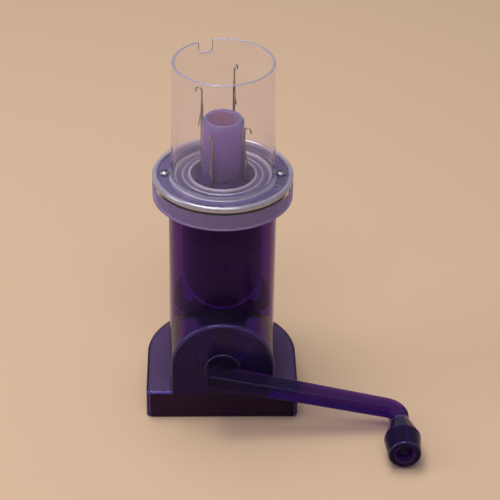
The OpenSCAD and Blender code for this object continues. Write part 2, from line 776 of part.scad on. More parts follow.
module needle_cylinder() color(violet)
    difference() {
        rotate_extrude()
            difference() {
                union() {
                    translate([cord_bore_r, spigot_z])
                        square([spigot_r - cord_bore_r, crown_top_z - spigot_z + bite]);
                    translate([cord_bore_r, crown_top_z])
                        square([drum_r - cord_bore_r, drum_top - crown_top_z]);
                    translate([cord_bore_r, drum_top - bite])
                        square([neck_r - cord_bore_r, bevel_z - drum_top + bite]);
                    polygon([[cord_bore_r, bevel_z - eps], [neck_r, bevel_z - eps],
                             [neck_r - mouth_out, neck_top], [cord_bore_r + mouth_in, neck_top]]);
                    translate([neck_r - eps, drum_top - eps]) square(neck_fillet + eps);
                }
                translate([neck_r + neck_fillet, drum_top + neck_fillet]) circle(r = neck_fillet, $fn = 64);
            }
        for (i = [0:3])
            rotate([0, 0, needle_angle(i)])
                translate([slot_in_r, -slot_w / 2, crown_top_z])
                    cube([drum_r, slot_w, slot_top - crown_top_z]);
        at_crown_screws() cylinder(r = crown_shank_r + seat_gap / 2, h = crown_screw_len + 2 * over, $fn = 24);
    }

// the crown gear's four screws stand between the needles
module at_crown_screws()
    for (i = [0:3])
        rotate([0, 0, needle_angle(i) + 45]) translate([crown_screw_r, 0, crown_root_z]) children();

module crown_gear() color(violet)
    difference() {
        union() {
            ring(crown_out_r, spigot_r + run_gap, crown_root_z, crown_top_z);
            for (k = [0:crown_teeth - 1])
                rotate([0, 0, -90 + k * 360 / crown_teeth]) crown_tooth();
        }
        at_crown_screws() translate([0, 0, -over])
            cylinder(r = crown_shank_r + seat_gap / 2, h = crown_t + 2 * over, $fn = 24);
    }

// rack-shaped tooth, pointing down and running outwards along +X
module crown_tooth() {
    half = PI * gear_module / 4 - backlash / 2;
    lean = tan(20);
    root = dedendum + eps;
    translate([crown_mid_r - face_w / 2, 0, crown_pitch_z]) rotate([90, 0, 90])
        linear_extrude(face_w)
            polygon([[-half + addendum * lean, -addendum], [half - addendum * lean, -addendum],
                     [half + root * lean, root], [-half - root * lean, root]]);
}

module crown_gear_screws() color(steel)
    at_crown_screws() mirror([0, 0, 1])
        pan_screw(crown_screw_len, crown_shank_r, crown_head_r, crown_head_h);

// ---- needles: drawn along +X, then turned and lifted to their places ----

module at_needle(i) rotate([0, 0, needle_angle(i)]) translate([0, 0, needle_lift[i]]) children();

module needle(i) color(steel)
    at_needle(i)
        difference() {
            union() {
                translate([stem_in_r, -stem_w / 2, butt_z]) cube([stem_t, stem_w, stem_top - butt_z]);
                translate([stem_in_r, -stem_w / 2, butt_z]) cube([butt_reach - stem_in_r, stem_w, butt_h]);
                translate([stem_mid_r, 0, stem_top - bite])
                    cylinder(r = hook_wire / 2, h = bend_z - stem_top + bite, $fn = 24);
                translate([stem_mid_r + hook_bend_r, 0, bend_z]) rotate([90, 0, 0])
                    rotate_extrude(angle = 180)
                        translate([hook_bend_r, 0]) circle(r = hook_wire / 2, $fn = 24);
                translate([stem_mid_r + 2 * hook_bend_r, 0, bend_z - hook_wire]) {
                    cylinder(r = hook_wire / 2, h = hook_wire, $fn = 24);
                    sphere(r = hook_wire / 2, $fn = 24);
                }
            }
            translate([stem_in_r - over, -latch_slot_w / 2, pivot_z - latch_slot_down])
                cube([stem_t + 2 * over, latch_slot_w, latch_slot_down + latch_slot_up]);
            translate([pivot_r, stem_w, pivot_z]) rotate([90, 0, 0])
                cylinder(r = rivet_r + run_gap / 3, h = 2 * stem_w, $fn = 24);
        }

module latch(i) color(steel)
    at_needle(i)
        translate([pivot_r, 0, pivot_z]) rotate([0, -latch_open, 0])
            difference() {
                union() {
                    translate([-leaf_d / 2, -leaf_w / 2, eye_r - latch_len])
                        cube([leaf_d, leaf_w, latch_len - eye_r]);
                    translate([0, leaf_w / 2, 0]) rotate([90, 0, 0]) cylinder(r = eye_r, h = leaf_w, $fn = 24);
                    translate([-leaf_w / 2, 0, eye_r - latch_len]) rotate([0, 90, 0])
                        cylinder(r = eye_r, h = leaf_w, $fn = 24);
                }
                translate([0, stem_w, 0]) rotate([90, 0, 0])
                    cylinder(r = rivet_r + run_gap, h = 2 * stem_w, $fn = 24);
            }

module rivet(i) color(steel)
    at_needle(i)
        translate([pivot_r, stem_w / 2, pivot_z]) rotate([90, 0, 0])
            cylinder(r = rivet_r, h = stem_w, $fn = 24);

housing();
cam_lower();
cam_upper();
base_plate();
base_screws();
clear_cover();
cover_screws();
crank_arm();
drive_pinion();
pinion_washer();
pinion_screw();
knob();
needle_cylinder();
crown_gear();
crown_gear_screws();
needle(0);  // needle_right
needle(1);  // needle_back
needle(2);  // needle_left
needle(3);  // needle_front
latch(0);  // latch_right
latch(1);  // latch_back
latch(2);  // latch_left
latch(3);  // latch_front
rivet(0);  // rivet_right
rivet(1);  // rivet_back
rivet(2);  // rivet_left
rivet(3);  // rivet_front
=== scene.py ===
"""Looks of a hand-cranked cord knitting mill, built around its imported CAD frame.

Shapes are written in millimetres and turned into metres where a piece is made. The camera, the
lamps, the floor and the materials are in metres.
"""
import json
import math

import bmesh
import bpy
from mathutils import Matrix, Vector


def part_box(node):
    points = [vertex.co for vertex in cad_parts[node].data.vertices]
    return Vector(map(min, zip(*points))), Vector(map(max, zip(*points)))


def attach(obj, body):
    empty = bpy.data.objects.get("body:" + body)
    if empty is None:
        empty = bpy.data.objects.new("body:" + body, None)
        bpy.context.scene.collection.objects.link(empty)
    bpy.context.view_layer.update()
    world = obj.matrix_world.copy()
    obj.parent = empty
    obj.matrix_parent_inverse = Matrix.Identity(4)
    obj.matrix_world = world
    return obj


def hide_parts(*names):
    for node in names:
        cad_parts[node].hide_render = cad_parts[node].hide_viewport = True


MM = 0.001
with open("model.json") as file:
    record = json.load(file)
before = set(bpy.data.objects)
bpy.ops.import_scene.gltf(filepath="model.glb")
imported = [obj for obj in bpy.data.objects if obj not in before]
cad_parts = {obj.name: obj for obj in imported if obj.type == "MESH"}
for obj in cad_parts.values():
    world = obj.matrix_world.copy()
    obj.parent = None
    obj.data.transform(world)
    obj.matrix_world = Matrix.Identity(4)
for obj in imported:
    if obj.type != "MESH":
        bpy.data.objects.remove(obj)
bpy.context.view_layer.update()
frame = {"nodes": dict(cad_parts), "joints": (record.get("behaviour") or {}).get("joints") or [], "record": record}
NODES = frame["nodes"]


# ---- camera: the photograph's viewpoint ----

CAMERA_ELEVATION = math.radians(33.45)
CAMERA_YAW = math.radians(1.95)
CAMERA_ROLL = math.radians(1.04)
CAMERA_DISTANCE = 910.08 * MM
CAMERA_TARGET_X = 14.38 * MM
CAMERA_TARGET_Z = 77.15 * MM
FOCAL_PIXELS = 1756.81
FRAME_PIXELS = 500
SENSOR = 36.0


def add_camera():
    """Camera that looks at the target from its distance, turned by yaw, elevation and roll."""
    data = bpy.data.cameras.new("camera")
    data.sensor_width = SENSOR
    data.lens = FOCAL_PIXELS / FRAME_PIXELS * SENSOR
    data.clip_start = 0.01
    data.clip_end = 20
    yaw, elevation, roll = CAMERA_YAW, CAMERA_ELEVATION, CAMERA_ROLL
    level = math.cos(elevation)
    forward = Vector((math.sin(yaw) * level, math.cos(yaw) * level, -math.sin(elevation)))
    side = Vector((math.cos(yaw), -math.sin(yaw), 0))
    up = side.cross(forward)
    right = math.cos(roll) * side + math.sin(roll) * up
    top = math.cos(roll) * up - math.sin(roll) * side
    target = Vector((CAMERA_TARGET_X * math.cos(yaw), -CAMERA_TARGET_X * math.sin(yaw), CAMERA_TARGET_Z))
    camera = bpy.data.objects.new("camera", data)
    place = target - forward * CAMERA_DISTANCE
    camera.matrix_world = Matrix.Translation(place) @ Matrix((right, top, -forward)).transposed().to_4x4()
    bpy.context.scene.collection.objects.link(camera)
    bpy.context.scene.camera = camera


add_camera()


# ---- light and floor ----

FLOOR_COLOUR = (0.60, 0.42, 0.29, 1)
FLOOR_REACH = 6.0
FLOOR_DROP = 0.0002
WORLD_STRENGTH = 0.3
LAMP_AIM = Vector((0, 0, 0.08))

# Name, place and size in metres, power in watts.
LAMPS = (
    ("softbox_top", (-0.2, 0.2, 1.3), (0.8, 0.6), 10.2),
    ("softbox_front", (-0.05, -0.62, 1.1), (0.9, 0.35), 4.5),
    ("softbox_left", (-1.2, -0.1, 0.8), (0.6, 0.8), 3.4),
)


def add_world():
    world = bpy.data.worlds.new("studio")
    world.use_nodes = True
    background = world.node_tree.nodes["Background"]
    background.inputs["Color"].default_value = (1, 1, 1, 1)
    background.inputs["Strength"].default_value = WORLD_STRENGTH
    bpy.context.scene.world = world


def add_lamp(name, place, size, power):
    data = bpy.data.lights.new(name, "AREA")
    data.shape = "RECTANGLE"
    data.size, data.size_y = size
    data.energy = power
    lamp = bpy.data.objects.new(name, data)
    lamp.location = place
    lamp.rotation_euler = (LAMP_AIM - Vector(place)).to_track_quat("-Z", "Y").to_euler()
    bpy.context.scene.collection.objects.link(lamp)


def add_floor():
    mesh = bpy.data.meshes.new("floor")
    corners = [(x * FLOOR_REACH, y * FLOOR_REACH, 0) for x, y in ((-1, -1), (1, -1), (1, 1), (-1, 1))]
    mesh.from_pydata(corners, [], [(0, 1, 2, 3)])
    floor = bpy.data.objects.new("floor", mesh)
    floor.location.z = -FLOOR_DROP
    bpy.context.scene.collection.objects.link(floor)
    material = bpy.data.materials.new("floor")
    material.use_nodes = True
    shader = material.node_tree.nodes["Principled BSDF"]
    shader.inputs["Base Color"].default_value = FLOOR_COLOUR
    shader.inputs["Roughness"].default_value = 0.7
    shader.inputs["Specular IOR Level"].default_value = 0.1
    mesh.materials.append(material)


bpy.context.scene.view_settings.view_transform = "Standard"
add_world()
for softbox in LAMPS:
    add_lamp(*softbox)
add_floor()


# ---- materials ----

GLOSS_TINT = (0.6, 0.45, 1, 1)
SHEEN_TINT = (0.55, 0.42, 1, 1)
# Colour of the painted shade at the bottom of a darkened part.
SHADE_TINT = (0.32, 0.21, 0.42, 1)
WHITE_TINT = (1, 1, 1, 1)
PURPLE_DENSITY = 420
CLEAR_DEPTH = (0.70, 0.52, 0.86, 1)
CLEAR_DENSITY = 14


def shade_of(colour, share):
    return (*(c * share for c in colour), 1)


class Finish:
    """A node material under construction, with its shader at hand."""

    def __init__(self, name):
        self.material = bpy.data.materials.new(name)
        self.material.use_nodes = True
        self.tree = self.material.node_tree
        self.shader = self.tree.nodes["Principled BSDF"]
        self.output = self.tree.nodes["Material Output"]
        self.place = self.tree.nodes.new("ShaderNodeTexCoord").outputs["Object"]

    def set(self, **values):
        """Plain values of the shader's own sockets, by name."""
        for name, value in values.items():
            self.shader.inputs[name.replace("_", " ")].default_value = value
        return self

    def noise(self, scale, detail):
        node = self.tree.nodes.new("ShaderNodeTexNoise")
        node.inputs["Scale"].default_value = scale
        node.inputs["Detail"].default_value = detail
        self.tree.links.new(self.place, node.inputs["Vector"])
        return node.outputs["Fac"]

    def spread(self, source, low, high, start=0.3, end=0.7):
        """The source, stretched from start and end to low and high."""
        node = self.tree.nodes.new("ShaderNodeMapRange")
        node.inputs["From Min"].default_value = start
        node.inputs["From Max"].default_value = end
        node.inputs["To Min"].default_value = low
        node.inputs["To Max"].default_value = high
        self.tree.links.new(source, node.inputs["Value"])
        return node.outputs["Result"]

    def ramp(self, source, colours):
        node = self.tree.nodes.new("ShaderNodeValToRGB")
        stops = node.color_ramp.elements
        for stop, (at, colour) in zip(stops, colours):
            stop.position, stop.color = at, colour
        for at, colour in colours[2:]:
            stops.new(at).color = colour
        self.tree.links.new(source, node.inputs["Fac"])
        return node.outputs["Color"]

    def mottle(self, colour, share, scale, detail):
        """The colour in soft patches, some of them darkened to a share of it."""
        tones = [(0.3, shade_of(colour, share)), (0.7, shade_of(colour, 1))]
        return self.ramp(self.noise(scale, detail), tones)

    def painted_shade(self, colour, low, high):
        """Painted shade: the colour, whole above the high height and dark below the low one."""
        split = self.tree.nodes.new("ShaderNodeSeparateXYZ")
        mix = self.tree.nodes.new("ShaderNodeMix")
        mix.data_type, mix.blend_type = "RGBA", "MULTIPLY"
        mix.inputs["Factor"].default_value = 1.0
        self.tree.links.new(self.place, split.inputs["Vector"])
        self.tree.links.new(colour, mix.inputs["A"])
        level = self.spread(split.outputs["Z"], 0, 1, low, high)
        shade = self.ramp(level, [(0, SHADE_TINT), (1, WHITE_TINT)])
        self.tree.links.new(shade, mix.inputs["B"])
        return mix.outputs["Result"]

    def bump(self, height, strength, distance):
        node = self.tree.nodes.new("ShaderNodeBump")
        node.inputs["Strength"].default_value = strength
        node.inputs["Distance"].default_value = distance
        self.tree.links.new(height, node.inputs["Height"])
        self.tree.links.new(node.outputs["Normal"], self.shader.inputs["Normal"])

    def feed(self, source, socket):
        self.tree.links.new(source, self.shader.inputs[socket])

    def roughen(self, low, high, scale, detail):
        """Roughness in patches, from low to high."""
        self.feed(self.spread(self.noise(scale, detail), low, high), "Roughness")

    def absorb(self, colour, density):
        node = self.tree.nodes.new("ShaderNodeVolumeAbsorption")
        node.inputs["Color"].default_value = colour
        node.inputs["Density"].default_value = density
        self.tree.links.new(node.outputs["Volume"], self.output.inputs["Volume"])


def purple_plastic(name, colour, clear=0.975, rough=(0.02, 0.07), bend=1.3, deep=(0.50, 0.10, 0.68)):
    """See-through purple moulding: a tinted surface over a body that darkens with its thickness."""
    finish = Finish(name).set(IOR=bend, Transmission_Weight=clear, Specular_Tint=GLOSS_TINT)
    finish.feed(finish.mottle(colour, 0.94, 40, 4), "Base Color")
    finish.roughen(*rough, 160, 5)
    finish.bump(finish.noise(70, 2), 0.08, 0.0002)
    finish.absorb((*deep, 1), PURPLE_DENSITY)
    return finish.material


def glow_plastic(name, colour, clear, rough=(0.12, 0.22), bend=1.3, sheen=0, shade_heights=None):
    """Purple moulding of the inner parts, coloured at its surface, with an even violet sheen if asked.
    Given two heights in metres, it takes a painted shade that darkens it from the upper one down to the lower one."""
    finish = Finish(name).set(IOR=bend, Transmission_Weight=clear, Specular_Tint=GLOSS_TINT)
    finish.set(Sheen_Weight=sheen, Sheen_Tint=SHEEN_TINT, Sheen_Roughness=0.5)
    tone = finish.mottle(colour, 0.9, 90, 3)
    # Painted shade: darker towards the bottom, between the two heights.
    if shade_heights:
        tone = finish.painted_shade(tone, *shade_heights)
    finish.feed(tone, "Base Color")
    finish.roughen(*rough, 200, 4)
    finish.bump(finish.noise(120, 3), 0.1, 0.0001)
    return finish.material


def clear_plastic(name, colour, clear, gloss=1.0, shine=1.6):
    """Clear moulding with a milky haze and a lilac tint where it is thick."""
    finish = Finish(name).set(IOR=1.01, Transmission_Weight=clear)
    finish.set(Coat_Weight=gloss, Coat_Roughness=0.04, Coat_IOR=shine)
    finish.feed(finish.mottle(colour, 0.96, 60, 3), "Base Color")
    finish.roughen(0.01, 0.05, 200, 5)
    finish.bump(finish.noise(110, 2), 0.1, 0.0001)
    finish.absorb(CLEAR_DEPTH, CLEAR_DENSITY)
    return finish.material


def steel(name, colour, rough, grain=1500):
    finish = Finish(name).set(Metallic=1.0)
    finish.feed(finish.mottle(colour, 0.7, 900, 4), "Base Color")
    finish.roughen(*rough, grain, 4)
    finish.bump(finish.noise(2 * grain, 3), 0.2, 0.00005)
    return finish.material


BODY = purple_plastic("purple_plastic", (0.50, 0.33, 0.92))
TUBE = purple_plastic("purple_plastic_tube", (0.53, 0.26, 0.76), bend=1.2)
FOOT = purple_plastic("purple_plastic_foot", (0.66, 0.30, 0.62))
ARM = purple_plastic("purple_plastic_arm", (0.45, 0.27, 0.82), bend=1.2, deep=(0.50, 0.14, 0.70))
SIDE = purple_plastic("purple_plastic_side", (0.46, 0.28, 0.74), bend=1.14)
# Painted highlight: a lighter, less clear copy of the purple plastic for rounded edges that catch the light.
EDGE_HIGHLIGHT = purple_plastic("purple_plastic_edge_highlight", (0.30, 0.22, 0.85), 0.88, bend=1.5)
# Painted highlight: a still lighter copy for the foot's front top edge.
FOOT_EDGE_HIGHLIGHT = purple_plastic("purple_plastic_foot_highlight", (0.24, 0.17, 0.90), 0.72, bend=1.5)
FROST = purple_plastic("purple_plastic_frosted", (0.60, 0.37, 0.86), 0.87, (0.14, 0.24), 1.2)
VIOLET = glow_plastic("violet_plastic", (0.35, 0.24, 0.67), 0.8)
# The neck takes painted shade, darker towards its foot where it sinks into the cup.
NECK = glow_plastic("neck_plastic", (0.50, 0.33, 0.92), 0.55, shade_heights=(0.122, 0.152))
MOUTH = glow_plastic("mouth_plastic", (0.39, 0.31, 0.65), 0.6)
# Painted shade: a dark copy of the violet plastic for the drum deep in the tube.
DRUM_SHADE = glow_plastic("drum_plastic_painted_shade", (0.055, 0.028, 0.26), 0.5)
# Painted glow: a pink-lilac copy for the cord bore, standing for floor light seen through the thin walls.
BORE_GLOW = glow_plastic("bore_plastic_painted_glow", (0.57, 0.35, 0.56), 0.5)
# Painted shade: the cams take a near-black colour for the dark inside the tube.
SHADED_CAM = glow_plastic("cam_plastic_painted_shade", (0.006, 0.004, 0.040), 0.1, (0.25, 0.4), 1.7, sheen=1)
# Painted highlight: a pale copy of the cam finish for the bright line along the cams' cut edges.
CAM_HIGHLIGHT = glow_plastic("cam_plastic_highlight", (0.74, 0.60, 1.0), 0.05, (0.2, 0.35), sheen=1)
CLEAR = clear_plastic("clear_plastic", (1.0, 0.97, 0.99), 0.97, 0.3)
HAZE = clear_plastic("clear_plastic_milky", (0.56, 0.42, 0.86), 0.8, 0.8)
VEIL = clear_plastic("clear_plastic_veil", (0.58, 0.46, 1.0), 0.72, 0.4)
# Painted highlight: lilac lines on the cup's rim, notch and marks.
RIM_HIGHLIGHT = clear_plastic("clear_plastic_edge_highlight", (0.74, 0.67, 0.93), 0.6)
# Painted highlight: pale arcs on the cup's bends and its lower edge.
BEND_HIGHLIGHT = clear_plastic("clear_plastic_bend_highlight", (0.88, 0.80, 0.98), 0.55, shine=2)
# Painted highlight: a near-white copy for the beaded edge of the cup.
BEAD_HIGHLIGHT = clear_plastic("clear_plastic_bead_highlight", (0.80, 0.72, 0.96), 0.66, shine=2.5)
PLATED = steel("screw_steel", (0.42, 0.43, 0.48), (0.22, 0.38))
NEEDLE = steel("needle_steel", (0.38, 0.37, 0.39), (0.1, 0.22), 2500)

FINISHES = {
    "purple_plastic": BODY,
    "violet_plastic": VIOLET,
    "clear_plastic": CLEAR,
    "screw_steel": PLATED,
    "needle_steel": NEEDLE,
}


def dress_cad_nodes():
    for part in frame["record"]["subparts"]:
        mesh = NODES[part["node"]].data
        mesh.materials.clear()
        mesh.materials.append(FINISHES[part["material_slot"]])
    # The CAD cams take the near-black painted shade too.
    for node in ("cam_lower", "cam_upper"):
        NODES[node].data.materials[0] = SHADED_CAM


dress_cad_nodes()


# ---- mesh helpers: shapes are drawn in millimetres ----

# Names end in _R for a radius, _W for a width, _H for a height, _D for a depth, _T for a thickness.
SEAT = 0.06  # clearance of a seat or a bearing
HAIR = 0.02  # just enough to keep two places apart
NEAR = 0.1  # how far off a surface a face may lie and still count as on it
AXIS_R = 0.001  # stands in for zero on the axis of a lathe
JOIN = 0.5  # how far shapes that are joined reach into each other
FINE = 192  # steps around a large round shape
DOWN = Vector((0, 0, -1))
FORWARD = Matrix.Rotation(math.radians(90), 4, "X")  # lays an upright shape along -Y


def add_piece(name, mesh, slot, crease=35):
    """A new object from a mesh in millimetres, smooth apart from its sharp edges."""
    mesh.transform(Matrix.Scale(MM, 4))
    mesh.shade_smooth()
    mesh.set_sharp_from_angle(angle=math.radians(crease))
    mesh.materials.clear()
    mesh.materials.append(FINISHES[slot])
    piece = bpy.data.objects.new(name, mesh)
    bpy.context.scene.collection.objects.link(piece)
    piece.modifiers.new("normals", "WEIGHTED_NORMAL").keep_sharp = True
    return piece


def paint(piece, finish, chosen):
    """Gives another finish to the faces that chosen(centre, normal) picks, in millimetres."""
    mesh = piece.data
    mesh.materials.append(finish)
    index = len(mesh.materials) - 1
    for face in mesh.polygons:
        if chosen(face.center / MM, face.normal):
            face.material_index = index


def finish_piece(piece, body, slot, *nodes):
    """Ties a piece to its body and hides the CAD nodes it stands in for. The slot is not used."""
    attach(piece, body)
    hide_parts(*nodes)


def rounded(corners, steps=6):
    """A closed outline from corners (x, y, radius), each turned on an arc of its radius."""
    points = []
    count = len(corners)
    for i, (x, y, radius) in enumerate(corners):
        here = Vector((x, y))
        if not radius:
            points.append(here)
            continue
        before = (Vector(corners[i - 1][:2]) - here).normalized()
        after = (Vector(corners[(i + 1) % count][:2]) - here).normalized()
        half = before.angle(after) / 2
        reach = radius / math.tan(half)
        middle = here + (before + after).normalized() * (radius / math.sin(half))
        start, end = here + before * reach - middle, here + after * reach - middle
        step = math.copysign((math.pi - 2 * half) / steps, start.x * end.y - start.y * end.x)
        points += [middle + Matrix.Rotation(step * k, 2) @ start for k in range(steps + 1)]
    return points


def circle(radius, segments, x=0.0, y=0.0):
    """An outline around a point, in even steps."""
    angles = [math.tau * k / segments for k in range(segments)]
    return [(x + radius * math.cos(a), y + radius * math.sin(a)) for a in angles]


def arc(middle, radius, start, end, steps):
    """Points on an arc around middle, angles in degrees."""
    angles = [math.radians(start + (end - start) * k / steps) for k in range(steps + 1)]
    return [(middle[0] + radius * math.cos(a), middle[1] + radius * math.sin(a)) for a in angles]


def rectangle(left, right, low, high):
    return [(left, low), (right, low), (right, high), (left, high)]


def edge_steps(radius, steps=6):
    """Inset and rise along a rounded edge, from its start on the side to its end on the face."""
    angles = [math.radians(90 * k / steps) for k in range(steps + 1)]
    return [(radius * (1 - math.cos(a)), radius * math.sin(a)) for a in angles]


def ring_skin(sections):
    """A skin through sections around an axis, the last one joined to the first."""
    mesh = bpy.data.meshes.new("skin")
    rows = len(sections[0])
    faces = []
    for k in range(len(sections)):
        here, there = k * rows, (k + 1) % len(sections) * rows
        for i in range(rows):
            j = (i + 1) % rows
            faces.append((here + i, there + i, there + j, here + j))
    mesh.from_pydata([point for section in sections for point in section], [], faces)
    return outward(mesh)


def lathe(outline, segments=144):
    """A solid of revolution around Z from a closed outline of (radius, height)."""
    angles = [math.tau * k / segments for k in range(segments)]
    return ring_skin([[(p[0] * math.cos(a), p[0] * math.sin(a), p[1]) for p in outline] for a in angles])


def outward(mesh):
    """The same mesh with all its faces pointing out."""
    bm = bmesh.new()
    bm.from_mesh(mesh)
    bmesh.ops.recalc_face_normals(bm, faces=bm.faces)
    bm.to_mesh(mesh)
    bm.free()
    return mesh


def sweep(sections):
    """A closed skin through rings of points with the same count, with flat ends."""
    mesh = bpy.data.meshes.new("sweep")
    count = len(sections[0])
    verts = [tuple(p) for ring in sections for p in ring]
    faces = [tuple(range(count))]
    for k in range(len(sections) - 1):
        here, there = k * count, (k + 1) * count
        for i in range(count):
            j = (i + 1) % count
            faces.append((here + i, here + j, there + j, there + i))
    last = (len(sections) - 1) * count
    faces.append(tuple(range(last + count - 1, last - 1, -1)))
    mesh.from_pydata(verts, [], faces)
    return outward(mesh)


def prism(outline, low, high):
    """An outline in X and Y, raised from low to high."""
    return sweep([[(p[0], p[1], z) for p in outline] for z in (low, high)])


def combine(mesh, other, operation="DIFFERENCE"):
    """The mesh with another one cut away from it or joined to it."""
    scene = bpy.context.scene.collection
    piece = bpy.data.objects.new("piece", mesh)
    tool = bpy.data.objects.new("tool", other)
    scene.objects.link(piece)
    scene.objects.link(tool)
    step = piece.modifiers.new("step", "BOOLEAN")
    step.operation = operation
    step.solver = "EXACT"
    step.object = tool
    result = bpy.data.meshes.new_from_object(piece.evaluated_get(bpy.context.evaluated_depsgraph_get()))
    for used in (piece, tool):
        bpy.data.objects.remove(used)
    return result


def gathered(meshes):
    """Several meshes as one."""
    bm = bmesh.new()
    for mesh in meshes:
        bm.from_mesh(mesh)
    made = bpy.data.meshes.new("gathered")
    bm.to_mesh(made)
    bm.free()
    return made


def turned(mesh, turn):
    mesh.transform(turn)
    return mesh


def rod(radius, low, high, segments=64):
    """A round rod along -Y."""
    return turned(prism(circle(radius, segments), low, high), FORWARD)


def bar(x, y, radius, low, high, segments=40):
    """An upright round bar."""
    return prism(circle(radius, segments, x, y), low, high)


def radial(point):
    """Distance from the Z axis."""
    return math.hypot(point.x, point.y)


def size_of(node):
    """Lowest and highest corner of a CAD node, in millimetres."""
    low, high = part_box(node)
    return low / MM, high / MM


def joint(name):
    return next(j for j in frame["joints"] if j["name"] == name)


# ---- yarn cup ----

CUP_WALL = 1.5
CUP_FLOOR = 1.5
CUP_TAPER = 1.1
CUP_FOOT_R = 26.4
CUP_RIM_R = CUP_FOOT_R - CUP_TAPER
CUP_HOLE_R = 16.1
LIP_R = 0.7
LIP_RISE = LIP_R + 0.3
STEP_R = CUP_HOLE_R + 4.1
STEP_HALF_W = 0.5
STEP_H = 0.35
SKIRT_WALL = 2.0
SKIRT_DROP = 10.0
SKIRT_LINE = 2.4
BEAD_R = 1.35
BEAD_RISE = BEAD_R + 0.2
BEAD_LINE = 1.0
NOTCH_WIDTH = 7.4
NOTCH_DEPTH = 7.2
NOTCH_CORNER = 2.5
NOTCH_ANGLE = math.radians(111)
SCREW_X = 29.3
SCREW_HOLE_R = 1.55
MARK_R = 2.4
MARK_W = 0.25
MARK_H = 0.12
MARK_RING_R = 29.3
MARK_ANGLES = (-85, -26)


def cup_floor():
    """Height of the top of the cup's floor."""
    return size_of("clear_cover")[0].z + SKIRT_DROP + CUP_FLOOR


def cup_outline():
    """Half section: skirt, beaded edge, wall, floor with its step and lip, and underside."""
    low, high = size_of("clear_cover")
    outer, rim, skirt = high.x, high.z, low.z
    under = skirt + SKIRT_DROP + SEAT
    floor = cup_floor()
    return rounded([
        (outer - SKIRT_WALL, skirt, 0.2),
        (outer, skirt, 0.3),
        (outer, floor - SKIRT_LINE, 0),
        (outer, floor - BEAD_LINE, 0),
        (outer, floor + BEAD_RISE, BEAD_R - 0.01),
        (outer - 2 * BEAD_R, floor + BEAD_RISE, BEAD_R - 0.01),
        (outer - 2 * BEAD_R, floor, 0.15),
        (CUP_FOOT_R + 0.05, floor, 0.9),
        (CUP_FOOT_R, floor + 2.4, 0),
        (CUP_RIM_R, rim, CUP_WALL / 2 - 0.01),
        (CUP_RIM_R - CUP_WALL, rim, CUP_WALL / 2 - 0.01),
        (CUP_FOOT_R - CUP_WALL, floor, 1.4),
        (STEP_R + STEP_HALF_W, floor, 0.15),
        (STEP_R + 0.2, floor + STEP_H, 0.2),
        (STEP_R - 0.2, floor + STEP_H, 0.2),
        (STEP_R - STEP_HALF_W, floor, 0.15),
        (CUP_HOLE_R + 2 * LIP_R + 0.1, floor, 0.3),
        (CUP_HOLE_R + 2 * LIP_R, floor + LIP_RISE, LIP_R - 0.01),
        (CUP_HOLE_R, floor + LIP_RISE, LIP_R - 0.01),
        (CUP_HOLE_R, under, 0.2),
        (CUP_RIM_R - CUP_WALL - 0.4, under, 0),
        (CUP_FOOT_R + 0.8, under, 0),
        (outer - SKIRT_WALL, under, 0.3),
    ])


def notch_cutter(rim):
    """The yarn notch: straight sides, two round lower corners, open at the top."""
    half = NOTCH_WIDTH / 2
    radius = CUP_RIM_R - CUP_WALL / 2
    outline = rounded([
        (-half, 2, 0),
        (-half, -NOTCH_DEPTH, NOTCH_CORNER),
        (half, -NOTCH_DEPTH, NOTCH_CORNER),
        (half, 2, 0),
    ])
    cutter = prism(outline, radius - 4, radius + 4)
    stand = Matrix(((0, 0, 1), (1, 0, 0), (0, 1, 0))).to_4x4()
    return turned(cutter, Matrix.Rotation(NOTCH_ANGLE, 4, "Z") @ Matrix.Translation((0, 0, rim)) @ stand)


def cup_mesh():
    floor = cup_floor()
    mesh = combine(lathe(cup_outline()), notch_cutter(size_of("clear_cover")[1].z))
    for side in (-1, 1):
        hole = prism(circle(SCREW_HOLE_R, 32), -3, 3)
        mesh = combine(mesh, turned(hole, Matrix.Translation((side * SCREW_X, 0, floor))))
    for degrees in MARK_ANGLES:
        a = math.radians(degrees)
        mark = lathe(rectangle(MARK_R - MARK_W, MARK_R, floor - 0.3, floor + MARK_H), 40)
        place = Matrix.Translation((MARK_RING_R * math.cos(a), MARK_RING_R * math.sin(a), 0))
        mesh = combine(mesh, turned(mark, place), "UNION")
    return mesh


